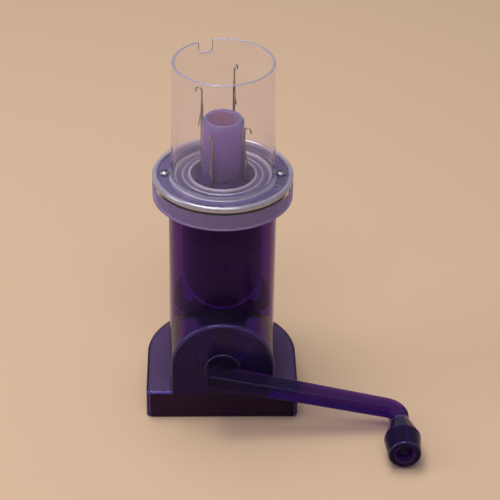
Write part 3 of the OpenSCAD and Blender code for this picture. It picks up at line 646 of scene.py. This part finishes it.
def paint_cup(cup):
    low, high = size_of("clear_cover")
    floor = cup_floor()
    inner = CUP_RIM_R - CUP_WALL

    def on_floor(centre, normal):
        return normal.z > 0.9 and floor - 0.3 < centre.z < floor + 0.5

    def on_skirt(centre, normal):
        return abs(normal.z) < 0.3 and radial(centre) > high.x - 0.2 and centre.z < floor - SKIRT_LINE

    # Picks the faces with a pale painted highlight: lip, step, foot of the wall, the underside beneath it and the
    # skirt's lower edge.
    def on_bends(centre, normal):
        radius = radial(centre)
        lip = CUP_HOLE_R - NEAR < radius < CUP_HOLE_R + 2 * LIP_R + 0.3 and centre.z > floor + 0.1
        step = abs(radius - STEP_R) < STEP_HALF_W + NEAR and centre.z > floor + HAIR
        foot = inner - 0.6 < radius < CUP_FOOT_R + 1.4 and floor + HAIR < centre.z < floor + 1.7
        under = normal.z < -0.9 and inner - 0.4 < radius < CUP_FOOT_R + 0.8 and centre.z < floor
        return lip or step or foot or under or centre.z < low.z + 0.25

    def on_highlight_edges(centre, normal):
        radius = radial(centre)
        slant = abs(centre.x * normal.x + centre.y * normal.y) / radius
        rim = centre.z > high.z - 0.45
        notch = centre.z > high.z - NOTCH_DEPTH - 0.3 and slant < 0.6 and radius > inner - 0.2
        mark = abs(radius - MARK_RING_R) < MARK_R + 0.2 and floor + HAIR < centre.z < floor + 0.2
        return rim or notch or mark

    def on_bead(centre, normal):
        radius = radial(centre)
        side = radius > high.x - NEAR and centre.z > floor - BEAD_LINE
        top = radius > high.x - 2 * BEAD_R and centre.z > floor and normal.z > 0.1
        return side or top

    paint(cup, HAZE, on_floor)
    paint(cup, VEIL, on_skirt)
    # Painted highlight on the cup's bends, the underside below its wall and its lower edge.
    paint(cup, BEND_HIGHLIGHT, on_bends)
    # Painted highlight on the rim, the notch's cut faces and the marks.
    paint(cup, RIM_HIGHLIGHT, on_highlight_edges)
    # Painted highlight along the bead.
    paint(cup, BEAD_HIGHLIGHT, on_bead)


def add_yarn_cup():
    cup = add_piece("yarn_cup", cup_mesh(), "clear_plastic", 30)
    paint_cup(cup)
    finish_piece(cup, "mill_body", "clear_plastic", "clear_cover")


add_yarn_cup()


# ---- cup screws ----

HEAD_R = 2.6
HEAD_H = 1.9
SHANK_R = 1.4
SHANK_TIP = 1.2
SCREW_LENGTH = 10.0
RECESS_D = 1.5
RECESS_R = 1.7
RECESS_W = 0.85

# Name, side, and how far its cross is turned, in degrees.
CUP_SCREWS = (("cup_screw_left", -1, 12), ("cup_screw_right", 1, -20))


def cross_recess(depth, reach, width):
    """Cross recess of a screw, four wings that narrow towards its floor, open at z = 0."""
    def wings(spread, z):
        w, r = width * spread / 2, reach * spread
        quarter = [(r, -w), (r, w), (w, w)]
        return [(x * math.cos(a) - y * math.sin(a), x * math.sin(a) + y * math.cos(a), z)
                for a in (0, math.pi / 2, math.pi, 3 * math.pi / 2) for x, y in quarter]
    return sweep([wings(0.55, -depth), wings(1, 0), wings(1.05, 1)])


def pan_screw():
    outline = rounded([
        (AXIS_R, -SCREW_LENGTH, 0),
        (SHANK_R / 2, -SCREW_LENGTH, 0),
        (SHANK_R, SHANK_TIP - SCREW_LENGTH, 0),
        (SHANK_R, 0, 0),
        (HEAD_R, 0, 0.25),
        (HEAD_R, 0.55 * HEAD_H, 0.7),
        (0.55 * HEAD_R, HEAD_H, 1.6),
        (AXIS_R, HEAD_H, 0),
    ])
    recess = turned(cross_recess(RECESS_D, RECESS_R, RECESS_W), Matrix.Translation((0, 0, HEAD_H)))
    return combine(lathe(outline, 64), recess)


def add_cup_screws():
    seat = size_of("cover_screws")[1].z - HEAD_H
    for name, side, turn in CUP_SCREWS:
        place = Matrix.Translation((side * SCREW_X, 0, seat)) @ Matrix.Rotation(math.radians(turn), 4, "Z")
        screw = add_piece(name, turned(pan_screw(), place), "screw_steel")
        finish_piece(screw, "mill_body", "screw_steel", "cover_screws")


add_cup_screws()


# ---- crank arm ----

CRANK_Z = 31.8
ARM_H = 7.2
ARM_HUB_D = 12.2
ARM_TIP_D = 9.2
ARM_TAIL = 7.2
ARM_LENGTH = 93.6
ARM_CORNER_R = 5.5
ARM_BACK_R = 2.2
ARM_FRONT_R = 0.45
ELBOW_R = 10.3
LEG_LENGTH = 5.2
SPINDLE_R = 5.0
SPINDLE_REAR = 20.0
SPINDLE_ROOT = 3.0
STUB_R = 3.4
STUB_REAR = 16.0
PEG_R = 2.5
PEG_ROOT = 1.0
REST_GAP = 0.3


def arm_ring(point, across, back, front):
    """Section of the arm at a point of its back line: back and front are distances along across."""
    up = Vector((0, 0, 1))
    half = ARM_H / 2
    soft = min(ARM_BACK_R, (front - back) * 0.45)
    corners = rounded([
        (back, -half, soft),
        (front, -half, ARM_FRONT_R),
        (front, half, ARM_FRONT_R),
        (back, half, soft),
    ], 5)
    return [point + across * c[0] + up * c[1] for c in corners]


def arm_stations(elbow_x):
    """Places from the tail to the elbow, each with how far the tail's round corner cuts in there."""
    corner = enumerate(edge_steps(ARM_CORNER_R, 8))
    tail = [(inset - ARM_TAIL + HAIR * k, ARM_CORNER_R - rise) for k, (inset, rise) in corner]
    return tail + [(elbow_x * k / 6, 0) for k in range(1, 7)]


def arm_sections():
    """Sections of the arm from its tail over the elbow to the end of its leg."""
    elbow_x = ARM_LENGTH - ELBOW_R + ARM_TIP_D / 2
    inward = Vector((0, -1, 0))
    sections = []
    for x, gone in arm_stations(elbow_x):
        depth = ARM_HUB_D + (ARM_TIP_D - ARM_HUB_D) * (x + ARM_TAIL) / (elbow_x + ARM_TAIL)
        sections.append(arm_ring(Vector((x, 0, 0)), inward, gone, depth))
    middle = Vector((elbow_x, -ELBOW_R, 0))
    for k in range(1, 17):
        a = math.radians(90 - 90 * k / 16)
        out = Vector((math.cos(a), math.sin(a), 0))
        sections.append(arm_ring(middle + out * ELBOW_R, -out, 0, ARM_TIP_D))
    for share in (0.5, 1):
        down = Vector((elbow_x + ELBOW_R, -ELBOW_R - LEG_LENGTH * share, 0))
        sections.append(arm_ring(down, Vector((-1, 0, 0)), 0, ARM_TIP_D))
    return sections


def crank_drop():
    """Slope of the arm at rest."""
    hub, tip = (Vector(joint(name)["pos_m"]) for name in ("crank_turn", "knob_spin"))
    return math.atan2(hub.z - tip.z, tip.x - hub.x)


def crank_mesh(leg_end):
    """Arm, elbow and leg with the spindle and the knob's peg, lying along X, its hub at the origin."""
    back = leg_end - LEG_LENGTH - ELBOW_R
    peg_end = -size_of("crank_arm")[0].y
    mesh = turned(sweep(arm_sections()), Matrix.Translation((0, -back, 0)))
    mesh = combine(mesh, rod(SPINDLE_R, SPINDLE_REAR, back + SPINDLE_ROOT), "UNION")
    peg = turned(rod(PEG_R, leg_end - PEG_ROOT, peg_end, 48), Matrix.Translation((ARM_LENGTH, 0, 0)))
    mesh = combine(mesh, peg, "UNION")
    return combine(mesh, rod(STUB_R, STUB_REAR, SPINDLE_REAR + JOIN, 48), "UNION")


def add_crank():
    drop = crank_drop()
    leg_end = -size_of("knob")[1].y - REST_GAP
    mesh = turned(crank_mesh(leg_end), Matrix.Translation((0, 0, CRANK_Z)) @ Matrix.Rotation(drop, 4, "Y"))
    handle = add_piece("crank_handle", mesh, "purple_plastic", 30)

    def on_highlight_edge(centre, normal):
        across = normal.x * math.sin(drop) + normal.z * math.cos(drop)
        return 0.2 < abs(across) < 0.98 and normal.y < -0.1 and -centre.y < leg_end + 0.2

    handle.data.materials[0] = ARM
    # Painted highlight along the arm's front edges.
    paint(handle, EDGE_HIGHLIGHT, on_highlight_edge)
    finish_piece(handle, "crank", "purple_plastic", "crank_arm")


add_crank()


# ---- housing ----

TUBE_R = 27.5
TUBE_WALL = 2.2
TUBE_MID_R = TUBE_R - TUBE_WALL / 2
TUBE_LOW = 8.0
TUBE_CORE_R = 5.0
FLANGE_R = 33.4
FLANGE_T = 4.0
FOOT_HALF_W = 39.4
FOOT_FRONT = 41.7
FOOT_ARC_Y = 5.3
FOOT_H = 16.3
FOOT_WALL = 1.8
FOOT_TOP = 2.0
FOOT_CORNER_R = 3.0
FOOT_EDGE_R = 1.2
FOOT_LOW_EDGE = 0.5
ARCH_R = 26.8
ARCH_WALL = 3.0
ARCH_FACE = 2.2
ARCH_EDGE_R = 1.7
BOSS_R = 9.3
BOSS_OUT = 1.4
BEARING_R = 7.6
BEARING_BACK = 20.3
BEARING_CORE_R = 2.0
BORE_FRONT = 46.0
LEDGE_IN_R = 22.6
LEDGE_TOP = 51.3
LEDGE_T = 1.5
CAP_SEAT_R = 27.0
CAP_SEAT_D = 2.0
POST_R = 3.2
POST_H = 4.0
PILOT_R = 1.5
BASE_PILOT_TOP = 13.2
RING_PILOT_D = 9.5
PLATE_T = 3.0
RIB_IN_X = 26.4
RIB_OUT_X = 38.4
RIB_FRONT = -3.1
RIB_BACK = -1.9
RIB_LOW = 6.0
SCREW_IN_X = 10.0
SCREW_IN_Y = 16.2
SCREW_IN_ARC = 6.2
SCREW_ARC_ANGLE = math.radians(40)


def foot_outline(inset=0.0):
    """Straight front with round corners, half-round back."""
    corner = FOOT_CORNER_R - inset
    side = FOOT_HALF_W - FOOT_CORNER_R
    front = FOOT_CORNER_R - FOOT_FRONT
    back = arc((0, -FOOT_ARC_Y), FOOT_HALF_W - inset, 0, 180, 96)
    return back + arc((-side, front), corner, 180, 270, 10) + arc((side, front), corner, 270, 360, 10)


def foot_mesh():
    rings = [(FOOT_LOW_EDGE, 0), (0.3 * FOOT_LOW_EDGE, 0.3 * FOOT_LOW_EDGE), (0, FOOT_LOW_EDGE)]
    rings += [(inset, FOOT_H - FOOT_EDGE_R + rise) for inset, rise in edge_steps(FOOT_EDGE_R)]
    return sweep([[(x, y, z) for x, y in foot_outline(inset)] for inset, z in rings])


def arch_outline(radius, low):
    return arc((0, CRANK_Z), radius, 0, 180, 96) + [(-radius, low), (radius, low)]


def arch_mesh(radius, front, edge, low):
    """Half-round top on upright sides, from the tube's axis to its rounded front edge."""
    rings = [(0, 0)] + [(inset, front - edge + rise) for inset, rise in edge_steps(edge, 8)]
    return sweep([[(x, -y, z) for x, z in arch_outline(radius - inset, low)] for inset, y in rings])


def tube_mesh(high):
    return lathe(rounded([
        (TUBE_CORE_R, TUBE_LOW, 0),
        (TUBE_R, TUBE_LOW, 0),
        (TUBE_R, high - FLANGE_T, 0.7),
        (FLANGE_R, high - FLANGE_T, 0.4),
        (FLANGE_R, high, 0.5),
        (TUBE_CORE_R, high, 0),
    ]), FINE)


def bore_mesh(high):
    """The bore of the tube, with the seat of the upper cam at its top."""
    radius = TUBE_R - TUBE_WALL
    return lathe([
        (AXIS_R, -2),
        (radius, -2),
        (radius, high - CAP_SEAT_D),
        (CAP_SEAT_R, high - CAP_SEAT_D),
        (CAP_SEAT_R, high + 2),
        (AXIS_R, high + 2),
    ], FINE)


def base_screw_places():
    reach = FOOT_HALF_W - SCREW_IN_ARC
    for side in (-1, 1):
        yield side * (FOOT_HALF_W - SCREW_IN_X), SCREW_IN_Y - FOOT_FRONT
        yield side * reach * math.cos(SCREW_ARC_ANGLE), reach * math.sin(SCREW_ARC_ANGLE) - FOOT_ARC_Y


def bearing_mesh():
    """Bearing tube behind the front wall and round boss before it, along -Y through the crank axis."""
    inside = FOOT_FRONT - ARCH_FACE / 2
    outline = rounded([
        (BEARING_CORE_R, BEARING_BACK, 0),
        (BEARING_R, BEARING_BACK, 0.4),
        (BEARING_R, inside, 0),
        (BOSS_R, inside, 0),
        (BOSS_R, FOOT_FRONT + BOSS_OUT, 0.6),
        (BEARING_CORE_R, FOOT_FRONT + BOSS_OUT, 0),
    ])
    return turned(lathe(outline, 96), Matrix.Translation((0, 0, CRANK_Z)) @ FORWARD)


def ledge_mesh():
    """The ledge in the tube that carries the lower cam."""
    return lathe(rectangle(LEDGE_IN_R, TUBE_MID_R, LEDGE_TOP - LEDGE_T, LEDGE_TOP), FINE)


def foot_inside(top):
    """Screw posts and ribs under the foot's top."""
    made = [bar(x, y, POST_R, PLATE_T, top + JOIN) for x, y in base_screw_places()]
    for side in (-1, 1):
        near, far = sorted((side * RIB_IN_X, side * RIB_OUT_X))
        made.append(prism(rectangle(near, far, RIB_FRONT, RIB_BACK), RIB_LOW, top + JOIN))
    return made


def housing_holes(high):
    """The spindle's bore and the pilot holes of all screws."""
    bore = turned(rod(SPINDLE_R + SEAT, STUB_REAR, BORE_FRONT), Matrix.Translation((0, 0, CRANK_Z)))
    holes = [bar(x, y, PILOT_R, 1, BASE_PILOT_TOP, 24) for x, y in base_screw_places()]
    holes += [bar(side * SCREW_X, 0, PILOT_R, high - RING_PILOT_D, high + 1, 24) for side in (-1, 1)]
    return [bore, *holes]


def housing_mesh():
    """One moulding: foot, arch and tube are joined, hollowed, and fitted with what is inside."""
    high = size_of("housing")[1].z
    foot_in = FOOT_H - FOOT_TOP
    under = high - FLANGE_T
    posts = [bar(side * SCREW_X, 0, POST_R, under - POST_H, under + JOIN) for side in (-1, 1)]
    mesh = combine(foot_mesh(), arch_mesh(ARCH_R, FOOT_FRONT, ARCH_EDGE_R, 1), "UNION")
    mesh = combine(mesh, tube_mesh(high), "UNION")
    mesh = combine(mesh, gathered(posts), "UNION")
    mesh = combine(mesh, bore_mesh(high))
    mesh = combine(mesh, prism(foot_outline(FOOT_WALL), -1, foot_in))
    mesh = combine(mesh, arch_mesh(ARCH_R - ARCH_WALL, FOOT_FRONT - ARCH_FACE, 0.3, -1))
    mesh = combine(mesh, ledge_mesh(), "UNION")
    mesh = combine(mesh, bearing_mesh(), "UNION")
    mesh = combine(mesh, gathered(foot_inside(foot_in)), "UNION")
    return combine(mesh, gathered(housing_holes(high)))


def paint_housing(housing):
    edge_start = FOOT_H - FOOT_EDGE_R + NEAR

    def arch_reach(centre):
        return math.hypot(centre.x, max(centre.z - CRANK_Z, 0))

    def on_tube(centre, normal):
        radius = radial(centre)
        skin = min(abs(radius - TUBE_R), abs(radius - TUBE_R + TUBE_WALL))
        return abs(normal.z) < 0.2 and skin < NEAR

    def on_foot(centre, normal):
        return normal.y < -0.9 and centre.z < FOOT_H - FOOT_EDGE_R and -centre.y > FOOT_FRONT - NEAR

    def on_top(centre, normal):
        return normal.z > 0.99 and abs(centre.z - FOOT_H) < HAIR / 2

    def on_barrel(centre, normal):
        upper = centre.z > FOOT_H + 0.05 and centre.y < 0
        return upper and abs(arch_reach(centre) - ARCH_R) < NEAR and abs(normal.y) < 0.02

    def on_highlight_edge(centre, normal):
        front = -centre.y
        boss = math.hypot(centre.x, centre.z - CRANK_Z)
        on_arch = (FOOT_FRONT - ARCH_EDGE_R + NEAR < front < FOOT_FRONT - 0.03
                   and arch_reach(centre) > ARCH_R - ARCH_EDGE_R and centre.z > FOOT_H)
        on_boss = front > FOOT_FRONT + BOSS_OUT - 0.6 and boss > BOSS_R - 0.7 and normal.y > -0.98
        return on_arch or on_boss

    def on_foot_front(centre, normal):
        band = edge_start < centre.z < FOOT_H - 0.03 and abs(centre.x) > ARCH_R
        return band and normal.y < -0.3 and normal.z > 0.1

    paint(housing, TUBE, on_tube)
    paint(housing, FOOT, on_foot)
    paint(housing, FROST, on_top)
    paint(housing, SIDE, on_barrel)
    # Painted highlight along the arch's front edge and the boss's rim.
    paint(housing, EDGE_HIGHLIGHT, on_highlight_edge)
    # Painted highlight along the foot's front top edge.
    paint(housing, FOOT_EDGE_HIGHLIGHT, on_foot_front)


def add_housing():
    housing = add_piece("mill_housing", housing_mesh(), "purple_plastic", 28)
    paint_housing(housing)
    finish_piece(housing, "mill_body", "purple_plastic", "housing")


add_housing()


# ---- cams ----

CAM_IN_R = 16.6
CAM_OUT_R = 20.6
CAM_MID_R = (CAM_IN_R + CAM_OUT_R) / 2
CAM_FLOOR = LEDGE_TOP
CAM_DWELL = 52.5
CAM_RISE = 27.0
CAM_SOFT = 0.5
# How far below the cut the painted highlight band on the sleeve reaches.
CAM_LINE = 2.0
CAM_SLIVER = 0.3
CAM_STEPS = 144
CAM_RIM_R = 25.24
CAP_RIM_R = 26.8
CAP_T = 2.0
DRUM_R = 13.86

# Each sleeve is cut along a slanted plane: MID is the plane's height on the axis of the drum.
LOWER_RISE = 9.3
LOWER_MID = CAM_DWELL + LOWER_RISE
LOWER_SLOPE = (CAM_RISE - LOWER_RISE) / CAM_MID_R
UPPER_LIFT = 2.9
UPPER_RISE = 13.85
UPPER_MID = CAM_DWELL + UPPER_LIFT + UPPER_RISE
UPPER_SLOPE = UPPER_RISE / CAM_MID_R


def sleeve_profile():
    """Radius and distance from the cut: inner edge, outer edge, and where the band of painted highlight ends."""
    inner = [(CAM_IN_R + inset, CAM_SOFT - rise) for inset, rise in edge_steps(CAM_SOFT)]
    outer = [(CAM_IN_R + CAM_OUT_R - radius, short) for radius, short in reversed(inner)]
    return inner + outer + [(CAM_OUT_R, CAM_LINE)]


def slanted_sleeve(height, slope, low, high, keep_below):
    """A cam sleeve cut along a plane that falls towards the front, kept below the cut or above it."""
    far = low if keep_below else high
    profile = sleeve_profile()
    sections = []
    for k in range(CAM_STEPS):
        x, y = math.cos(math.tau * k / CAM_STEPS), math.sin(math.tau * k / CAM_STEPS)
        ring = []
        for radius, short in profile:
            cut = height + slope * radius * y
            if keep_below:
                z = max(min(cut - short, high), low + CAM_SLIVER)
            else:
                z = min(max(cut + short, low), high - CAM_SLIVER)
            ring.append((radius * x, radius * y, z))
        ring += [(radius * x, radius * y, far) for radius in (CAM_OUT_R, CAM_IN_R)]
        sections.append(ring)
    return ring_skin(sections)


def lower_cam_mesh():
    sleeve = slanted_sleeve(LOWER_MID, LOWER_SLOPE, CAM_FLOOR, CAM_DWELL + CAM_RISE, True)
    flange = lathe(rounded([
        (CAM_OUT_R - 1, CAM_FLOOR, 0),
        (CAM_RIM_R, CAM_FLOOR, 0.2),
        (CAM_RIM_R, CAM_DWELL, 0.3),
        (CAM_OUT_R - 1, CAM_DWELL, 0),
    ]))
    return combine(sleeve, flange, "UNION")


def upper_cam_mesh():
    high = size_of("cam_upper")[1].z
    sleeve = slanted_sleeve(UPPER_MID, UPPER_SLOPE, CAM_DWELL, high - 1, False)
    cap = lathe(rounded([
        (DRUM_R, high - 2 * CAP_T, 0.2),
        (CAM_IN_R + 0.5, high - 2 * CAP_T, 0),
        (CAM_OUT_R - 0.5, high - CAP_T, 0),
        (CAP_RIM_R, high - CAP_T, 0.2),
        (CAP_RIM_R, high, 0.4),
        (DRUM_R, high, 0.4),
    ]))
    return combine(sleeve, cap, "UNION")


def add_cam(name, mesh, on_highlight, node):
    """A cam in near-black painted shade, with the faces that the mask picks in a pale painted highlight."""
    cam = add_piece(name, mesh, "violet_plastic", 30)
    paint(cam, CAM_HIGHLIGHT, on_highlight)
    cam.data.materials[0] = SHADED_CAM
    finish_piece(cam, "mill_body", "violet_plastic", node)


def add_cams():
    # Painted highlight: the whole lower sleeve above its flange, and a band along the upper sleeve's cut.
    def on_sleeve(centre, normal):
        return centre.z > CAM_DWELL + HAIR and radial(centre) < CAM_OUT_R + NEAR

    def on_cut(centre, normal):
        above = centre.z - UPPER_MID - UPPER_SLOPE * centre.y
        return abs(above) < 1.5 and radial(centre) < CAM_OUT_R + NEAR

    add_cam("cam_track_lower", lower_cam_mesh(), on_sleeve, "cam_lower")
    add_cam("cam_track_upper", upper_cam_mesh(), on_cut, "cam_upper")


add_cams()


# ---- knob ----

KNOB_R = 9.4
KNOB_NECK_R = 5.3
KNOB_END_R = 8.2
KNOB_REAR = 13.0
KNOB_COLLAR = 1.7
KNOB_RECESS_R = 4.9
KNOB_RECESS_D = 5.0


def add_knob():
    low, high = size_of("knob")
    length = high.y - low.y
    hub = Vector(joint("knob_spin")["pos_m"]) / MM
    outline = rounded([
        (PEG_R + SEAT, 0, 0),
        (KNOB_NECK_R, 0, 0.3),
        (KNOB_NECK_R + 0.45, KNOB_COLLAR, 0.8),
        (KNOB_R, KNOB_REAR, 1.0),
        (KNOB_END_R, length, 0.8),
        (KNOB_RECESS_R, length, 0.4),
        (KNOB_RECESS_R, length - KNOB_RECESS_D, 0.4),
        (PEG_R + SEAT, length - KNOB_RECESS_D, 0),
    ])
    mesh = turned(lathe(outline, 128), Matrix.Translation((hub.x, high.y, hub.z)) @ FORWARD)
    knob = add_piece("grip_knob", mesh, "purple_plastic", 40)

    def on_highlight_edge(centre, normal):
        along = high.y - centre.y
        end = length - 0.75 < along < length - HAIR
        return end or abs(along - KNOB_REAR) < 0.7 or 0.05 < along < KNOB_COLLAR + 0.2

    knob.data.materials[0] = ARM
    # Painted highlight on the knob's end rim, its widest ring and its collar.
    paint(knob, EDGE_HIGHLIGHT, on_highlight_edge)
    finish_piece(knob, "grip", "purple_plastic", "knob")


add_knob()


# ---- needle cylinder ----

NECK_R = 10.5
NECK_LOW_R = 10.9
MOUTH_R = 9.4
NECK_FOOT = 122.3
DRUM_TURN_R = 13.8
DRUM_LOW = 51.0
CORD_BORE_R = 7.6
SPIGOT_OUT_R = 9.8
TRACK_W = 1.9
TRACK_IN_R = 11.0
TRACK_OUT_R = 15.0
NEEDLE_ANGLES = tuple(math.radians(a) for a in (-27.5, 62.5, 152.5, 242.5))


def cylinder_mesh():
    """Spigot, slotted drum and hollow neck, with a wide bevel at its mouth."""
    low, high = size_of("needle_cylinder")
    mesh = lathe(rounded([
        (CORD_BORE_R, low.z, 0.3),
        (SPIGOT_OUT_R, low.z, 0.5),
        (SPIGOT_OUT_R, DRUM_LOW, 0),
        (DRUM_TURN_R, DRUM_LOW, 0.3),
        (DRUM_TURN_R, NECK_FOOT, 0.45),
        (NECK_LOW_R, NECK_FOOT, 2.3),
        (NECK_R, high.z - 1.7, 0.5),
        (MOUTH_R, high.z - 0.1, 0.3),
        (CORD_BORE_R + 0.5, high.z, 0.2),
        (CORD_BORE_R, high.z - 0.8, 0.3),
    ]))
    track = rectangle(TRACK_IN_R, TRACK_OUT_R, -TRACK_W / 2, TRACK_W / 2)
    tracks = []
    for angle in NEEDLE_ANGLES:
        tracks.append(turned(prism(track, DRUM_LOW - 1, high.z - 3), Matrix.Rotation(angle, 4, "Z")))
    return combine(mesh, gathered(tracks))


def add_needle_cylinder():
    top = size_of("needle_cylinder")[1].z
    cylinder = add_piece("slotted_cylinder", cylinder_mesh(), "violet_plastic", 30)
    cylinder.data.materials[0] = NECK
    # Painted shade on the drum below the neck.
    paint(cylinder, DRUM_SHADE, lambda centre, normal: centre.z < NECK_FOOT + 2.2)
    # Painted glow inside the cord bore.
    paint(cylinder, BORE_GLOW, lambda centre, normal: radial(centre) < CORD_BORE_R + 0.05)
    paint(cylinder, MOUTH, lambda centre, normal: centre.z > top - 1.8 and normal.z > 0.25)
    finish_piece(cylinder, "cylinder", "violet_plastic", "needle_cylinder")


add_needle_cylinder()


# ---- latch needles ----

STEM_R = 11.9
STEM_W = 1.05
STEM_T = 1.15
WIRE_R = 0.42
BEND_R = 1.7
BUTT_REACH = 16.3
BUTT_H = 2.2
LATCH_OPEN = math.radians(10)
LATCH_SLOT_W = 0.7
LATCH_SLOT_LOW = 6.6
LATCH_SLOT_TOP = 2.4
ROUND = 0.98  # rounding that leaves a section all but round

# Distance below the bend's end and thickness of the hook's tip.
HOOK_TIP = ((0.6, 0.74), (1.1, 0.62), (1.35, 0.36), (1.45, 0.1))

# Distance from the eye, width and depth of a latch.
LATCH_SHAPE = (
    (-0.68, 0.5, 0.5),
    (-0.5, 0.5, 1.0),
    (0, 0.5, 1.36),
    (0.5, 0.5, 1.0),
    (0.8, 0.5, 0.72),
    (2.5, 0.5, 0.62),
    (7.8, 0.5, 0.45),
    (8.7, 0.65, 0.4),
    (9.4, 0.95, 0.36),
    (10.0, 1.1, 0.34),
    (10.5, 0.9, 0.32),
    (10.85, 0.5, 0.3),
    (10.95, 0.2, 0.2),
)


def needle_ring(place, along, wide, thick, round_share=ROUND):
    """Section of a needle: thick is in the plane of its radius and height, wide is across it."""
    out = Vector((along.z, 0, -along.x))
    corner = min(wide, thick) / 2 * round_share
    w, t = wide / 2, thick / 2
    corners = rounded([(-t, -w, corner), (t, -w, corner), (t, w, corner), (-t, w, corner)], 3)
    return [place + out * c[0] + Vector((0, 1, 0)) * c[1] for c in corners]


def butt_rings(low):
    """The butt's outer end to the corner where it turns up into the stem."""
    inward = Vector((-1, 0, 0))
    middle = low + BUTT_H / 2
    rings = []
    for radius, tall in ((BUTT_REACH, BUTT_H * 0.8), (BUTT_REACH - 0.2, BUTT_H), (STEM_R + 1.3, BUTT_H)):
        rings.append(needle_ring(Vector((radius, 0, middle)), inward, STEM_W, tall, 0.3))
    corner = Vector((STEM_R + 0.35, 0, middle + 0.35))
    rings.append(needle_ring(corner, Vector((-0.7, 0, 0.7)), STEM_W, 1.9, 0.3))
    return rings


def stem_rings(low, pivot, bend_z):
    """The flat stem, wider at the latch's pivot, and the round wire above it."""
    wire = 2 * WIRE_R
    shape = (
        (low + BUTT_H + 0.6, STEM_W, STEM_T, 0.35),
        (pivot - 9, STEM_W, STEM_T, 0.35),
        (pivot - 7.5, STEM_W, STEM_T, 0.4),
        (pivot - 1.5, 1.15, STEM_T, 0.5),
        (pivot, 1.25, STEM_T * 1.08, 0.6),
        (pivot + 1.6, 1.1, STEM_T, 0.6),
        (pivot + 3.0, 0.95, 0.95, 0.8),
        (pivot + 4.2, wire, wire, ROUND),
        (bend_z, wire, wire, ROUND),
    )
    return [needle_ring(Vector((STEM_R, 0, z)), -DOWN, *section) for z, *section in shape]


def hook_rings(bend_z):
    """Half a turn outwards in thinning wire, then the tip that points down."""
    rings = []
    for k in range(1, 13):
        a = math.radians(180 - 15 * k)
        place = Vector((STEM_R + BEND_R + BEND_R * math.cos(a), 0, bend_z + BEND_R * math.sin(a)))
        wire = 2 * WIRE_R * (1 - 0.018 * k)
        rings.append(needle_ring(place, Vector((math.sin(a), 0, -math.cos(a))), wire, wire))
    for fall, wire in HOOK_TIP:
        place = Vector((STEM_R + 2 * BEND_R - 0.04 * fall, 0, bend_z - fall))
        rings.append(needle_ring(place, DOWN, wire, wire))
    return rings


def needle_mesh(low, high, pivot):
    """Needle in the X-Z plane with its hook turned out, its butt at the bottom."""
    bend_z = high - WIRE_R - BEND_R
    mesh = sweep(butt_rings(low) + stem_rings(low, pivot, bend_z) + hook_rings(bend_z))
    slot = rectangle(STEM_R - 2, STEM_R + 2, -LATCH_SLOT_W / 2, LATCH_SLOT_W / 2)
    return combine(mesh, prism(slot, pivot - LATCH_SLOT_LOW, pivot + LATCH_SLOT_TOP))


def latch_mesh():
    """Latch that hangs from its eye at the origin, with a spoon at its end."""
    rings = [needle_ring(Vector((0, 0, -at)), DOWN, wide, deep, 0.7) for at, wide, deep in LATCH_SHAPE]
    return turned(sweep(rings), Matrix.Rotation(-LATCH_OPEN, 4, "Y"))


def add_needles():
    for side in ("right", "back", "left", "front"):
        low, high = size_of(f"needle_{side}")
        pivot = Vector(joint(f"latch_{side}_swing")["pos_m"]) / MM
        face = Matrix.Rotation(math.atan2(pivot.y, pivot.x), 4, "Z")
        mesh = turned(needle_mesh(low.z, high.z, pivot.z), face)
        needle = add_piece(f"knitting_needle_{side}", mesh, "needle_steel", 40)
        finish_piece(needle, f"{side}_needle", "needle_steel", f"needle_{side}")
        mesh = turned(latch_mesh(), Matrix.Translation(pivot) @ face)
        latch = add_piece(f"needle_latch_{side}", mesh, "needle_steel", 40)
        finish_piece(latch, f"{side}_latch", "needle_steel", f"latch_{side}")


add_needles()
